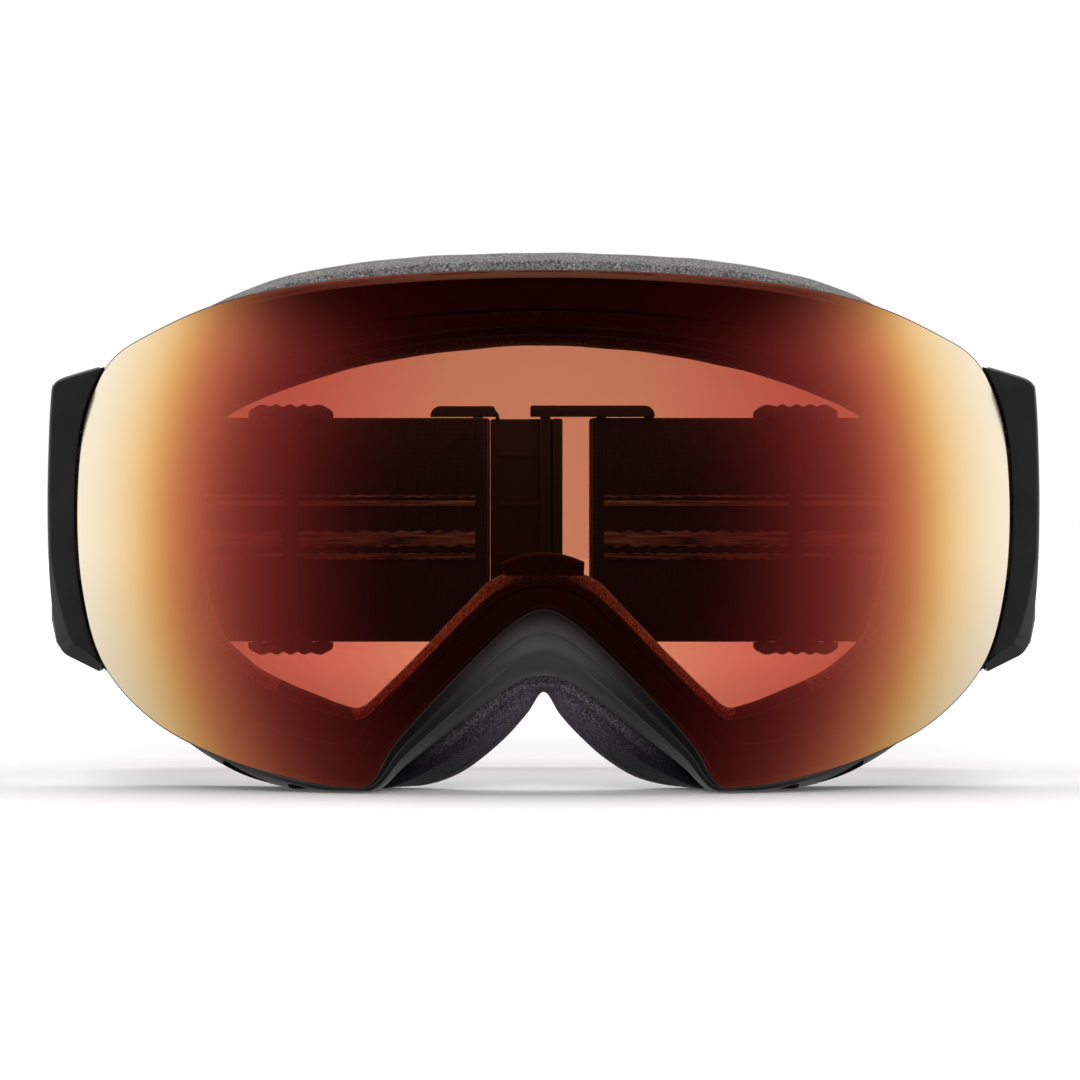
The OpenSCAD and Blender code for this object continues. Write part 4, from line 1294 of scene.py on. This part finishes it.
def slider_grip(side, up):
    """Wavy end of the slider: two big lobes with three bumps between them."""
    sections = []
    low = RAIL[0] - 0.15
    for x in np.linspace(-SLIDER_HALF, SLIDER_HALF, 69):
        share = abs(x) / SLIDER_HALF
        lobe = 0.62 * math.exp(-((abs(x) - 5.9) / 1.5) ** 2)
        bumps = 0.34 * math.cos(2 * math.pi * x / WAVE_PITCH) if abs(x) < WAVE_PITCH * 1.5 else -0.34
        top = RAIL[0] + 0.75 + (1.35 + lobe + bumps * 0.8) * max(0.0, 1 - share**7) ** 0.5
        front = np.interp(x, [-SLIDER_HALF, -2.6, 2.6, SLIDER_HALF],
                          [TAIL_BAR_Y - 2.2, INNER_BAR_Y - 1, INNER_BAR_Y - 1, OUTER_BAR_Y - 1])
        back = np.interp(x, [-SLIDER_HALF, 2, SLIDER_HALF],
                         [TAIL_BAR_Y + 1, TAIL_BAR_Y + 0.8, OUTER_BAR_Y + 1])
        ease = 0.5 * min(1, (1 - share) * 6 + 0.25)
        corner, cut = top - ease * 0.3, top - ease
        shape = ((front, low), (front, cut), (front + ease * 0.3, corner), (front + ease, top),
                 (back - ease, top), (back - ease * 0.3, corner), (back, cut), (back, low))
        section = [[SLIDER_X + x, y, up * z] for y, z in shape]
        sections.append(mirrored(section, side, True))
    return tube("grip", sections, "buckle_plastic", sharp=50)


LIP_X = (1.9, 3.9)
CATCH_X = (-0.6, 1.5)
PLATE_Y = (BAR_Y - 1, BAR_Y + 1)
CATCH_Y = (BAR_Y - 3.55, BAR_Y - 1.55)


def clip_box(name, x, y, z, bevel):
    return box_prism(name, x, y, z, "buckle_plastic", 1, True, bevel)


def clip_rail(name, upper, depths, bevel):
    """The same outline at the clip's upper and lower end."""
    return [prism(name, upper * [1, up], *depths, "buckle_plastic", seen_from_front(1, True), bevel)
            for up in (1, -1)]


def clip_hook():
    """Hook plate on the left half, with an ear above and below that holds its bar."""
    half = STRAP_W / 2 - 0.2
    pieces = [strap_bar(-FOLD_X["left"], BAR_Y, REACH, BAR_R, "buckle_plastic"),
              clip_box("plate", (-10.6, LIP_X[1]), PLATE_Y, (-half, half), 0.45),
              clip_box("lip", LIP_X, (CATCH_Y[0], PLATE_Y[1] - 0.3), (-half, half), 0.5)]
    pieces += [clip_box("rib", (-9, 1.2), (PLATE_Y[0] - 0.35, PLATE_Y[0] + 0.4), (z - 0.5, z + 0.5), 0.2)
               for z in (-15, -5, 5, 15)]
    low, high = RAIL
    ear = np.vstack([arc((-10.4, high - 0.8), 0.8, 0, 90, 5), arc((-20.7, high - 2), 2, 90, 180, 8),
                     [[-22.7, low], [-9.6, low], [-9.6, low - 1.6], [-8.6, low - 1.6], [-8.9, low + 0.4]]])
    pieces += clip_rail("ear", ear, PLATE_Y, 0.35)
    made = joined("clip_hook_body", pieces)
    finish_piece(made, "clip_hook", "buckle_plastic", "buckle_hook")


def clip_ring():
    """Ring on the right half: two rails, the strap's bar, an outer bar and the bar that the hook catches."""
    pieces = [strap_bar(x, y, REACH, BAR_R, "buckle_plastic")
              for x, y in ((FOLD_X["right"], BAR_Y), (21.3, BAR_Y - 0.1))]
    pieces.append(clip_box("catch", CATCH_X, CATCH_Y, (-REACH, REACH), 0.4))
    low, high = RAIL
    rail = np.vstack([[[22.4, low]], arc((20.4, high - 2), 2, 0, 90, 8),
                      arc((-2.1, high - 0.5), 0.5, 90, 180, 4), [[-2.6, low]]])
    pieces += clip_rail("rail", rail, (CATCH_Y[0], PLATE_Y[1]), 0.4)
    made = joined("clip_ring_body", pieces)
    finish_piece(made, "frame", "buckle_plastic", "buckle_ring")


# ---------------------------------------------------------------- small CAD parts
def small_parts():
    """Magnets and pins keep their CAD shape."""
    finishes = {"carrier_magnets": "magnet", "frame_magnets": "magnet"}
    for word in SIDES:
        finishes |= {"lever_pin_" + word: "pin_steel", "outrigger_pins_" + word: "pin_steel"}
    for node, surface in finishes.items():
        made = frame["nodes"][node]
        made.data.materials.clear()
        made.data.materials.append(MATERIALS[surface])


# ---------------------------------------------------------------- studio
CAMERA_BACK = 1200
CAMERA_X = -0.64
CAMERA_Z = 45.15
FOCAL = 227
WHITE = (1, 1, 1, 1)


def camera():
    data = bpy.data.cameras.new("Camera")
    data.lens = FOCAL
    data.sensor_width = 36
    data.clip_start, data.clip_end = 0.05, 20
    made = added("Camera", data)
    made.location = spot(CAMERA_X, -CAMERA_BACK, CAMERA_Z)
    made.rotation_euler = (math.pi / 2, 0, 0)
    bpy.context.scene.camera = made


def world():
    """White studio, dim below, and dark in a tall strip where the camera stands, which the lens's middle
    reflects."""
    made = bpy.data.worlds.new("Studio")
    bpy.context.scene.world = made
    made.use_nodes = True
    s = Nodes(made.node_tree)
    direction = s.node("TexCoord").outputs["Generated"]
    _, depth, height = s.parts(direction)
    along = s.vector("NORMALIZE", s.vector("MULTIPLY", direction, (1, 1, 0.3))[0])[0]
    strip = s.spread(s.parts(along)[1], -0.95, -0.05, 0.1, 1.0, smooth=True)
    below = s.spread(height, -0.75, -0.05, 0.42, 1.0)
    above = s.spread(height, 0.46, 0.68, 1.0, 0.12, smooth=True)
    ceiling = s.math("MAXIMUM", above, s.spread(depth, 0.0, 0.3))
    level = s.times(strip, s.times(ceiling, below))
    lit = s.node("Background", Color=WHITE, Strength=level)
    seen = s.node("Background", Color=WHITE, Strength=1.0)
    both = s.mixed(s.node("LightPath").outputs["Is Camera Ray"], lit, seen)
    s.node("OutputWorld", Surface=both.outputs[0])


def softbox(name, at, to, size, power, mirrored_by_lens=True):
    data = bpy.data.lights.new(name, "AREA")
    data.shape = "RECTANGLE"
    data.size, data.size_y = size
    data.energy = power
    made = added(name, data)
    made.location = at
    made.rotation_euler = (Vector(to) - Vector(at)).to_track_quat("-Z", "Y").to_euler()
    made.visible_glossy = mirrored_by_lens


def stage_floor():
    """White floor just below the goggles, brighter far behind them, which neither lights them nor shows in
    the lens's reflections."""
    surface = Surface("floor", (0.93, 0.93, 0.93), 0.9, Emission_Color=WHITE)
    away = surface.vector("LENGTH", surface.place())["Value"]
    near = surface.spread(away, 200, 1200, 0.05, 0.31, smooth=True)
    far = surface.spread(away, 1300, 1800, 0.0, 0.4, smooth=True)
    surface.feed(surface.shader, Emission_Strength=surface.plus(near, far))
    mesh = bpy.data.meshes.new("floor")
    mesh.from_pydata([(-9, -3, 0), (9, -3, 0), (9, 15, 0), (-9, 15, 0)], [], [(0, 1, 2, 3)])
    mesh.materials.append(surface.material)
    floor = added("floor", mesh)
    floor.location.z = -0.0002
    floor.visible_glossy = False
    floor.visible_diffuse = False


def studio():
    camera()
    world()
    softbox("Overhead", (0, 0.1, 1.1), (0, 0.1, 0), (1.6, 1.4), 7)
    softbox("Front fill", (0, -1.3, 0.5), (0, 0, 0.05), (0.9, 0.4), 15, mirrored_by_lens=False)
    softbox("Back fill", (0, 1.5, 0.5), (0, 0, 0.05), (1.2, 0.5), 3, mirrored_by_lens=False)
    stage_floor()
    bpy.context.scene.view_settings.view_transform = "Standard"


# ---------------------------------------------------------------- everything
lens()
frame_parts()
for side_word, side_sign in SIDES.items():
    temple_plate(side_word, side_sign)
    release_lever(side_word, side_sign)
    lever_spring(side_word, side_sign)
    outrigger(side_word, side_sign)
    straps(side_word, side_sign)
    grips(side_word, side_sign)
    slider(side_word, side_sign)
clip_hook()
clip_ring()
small_parts()
studio()
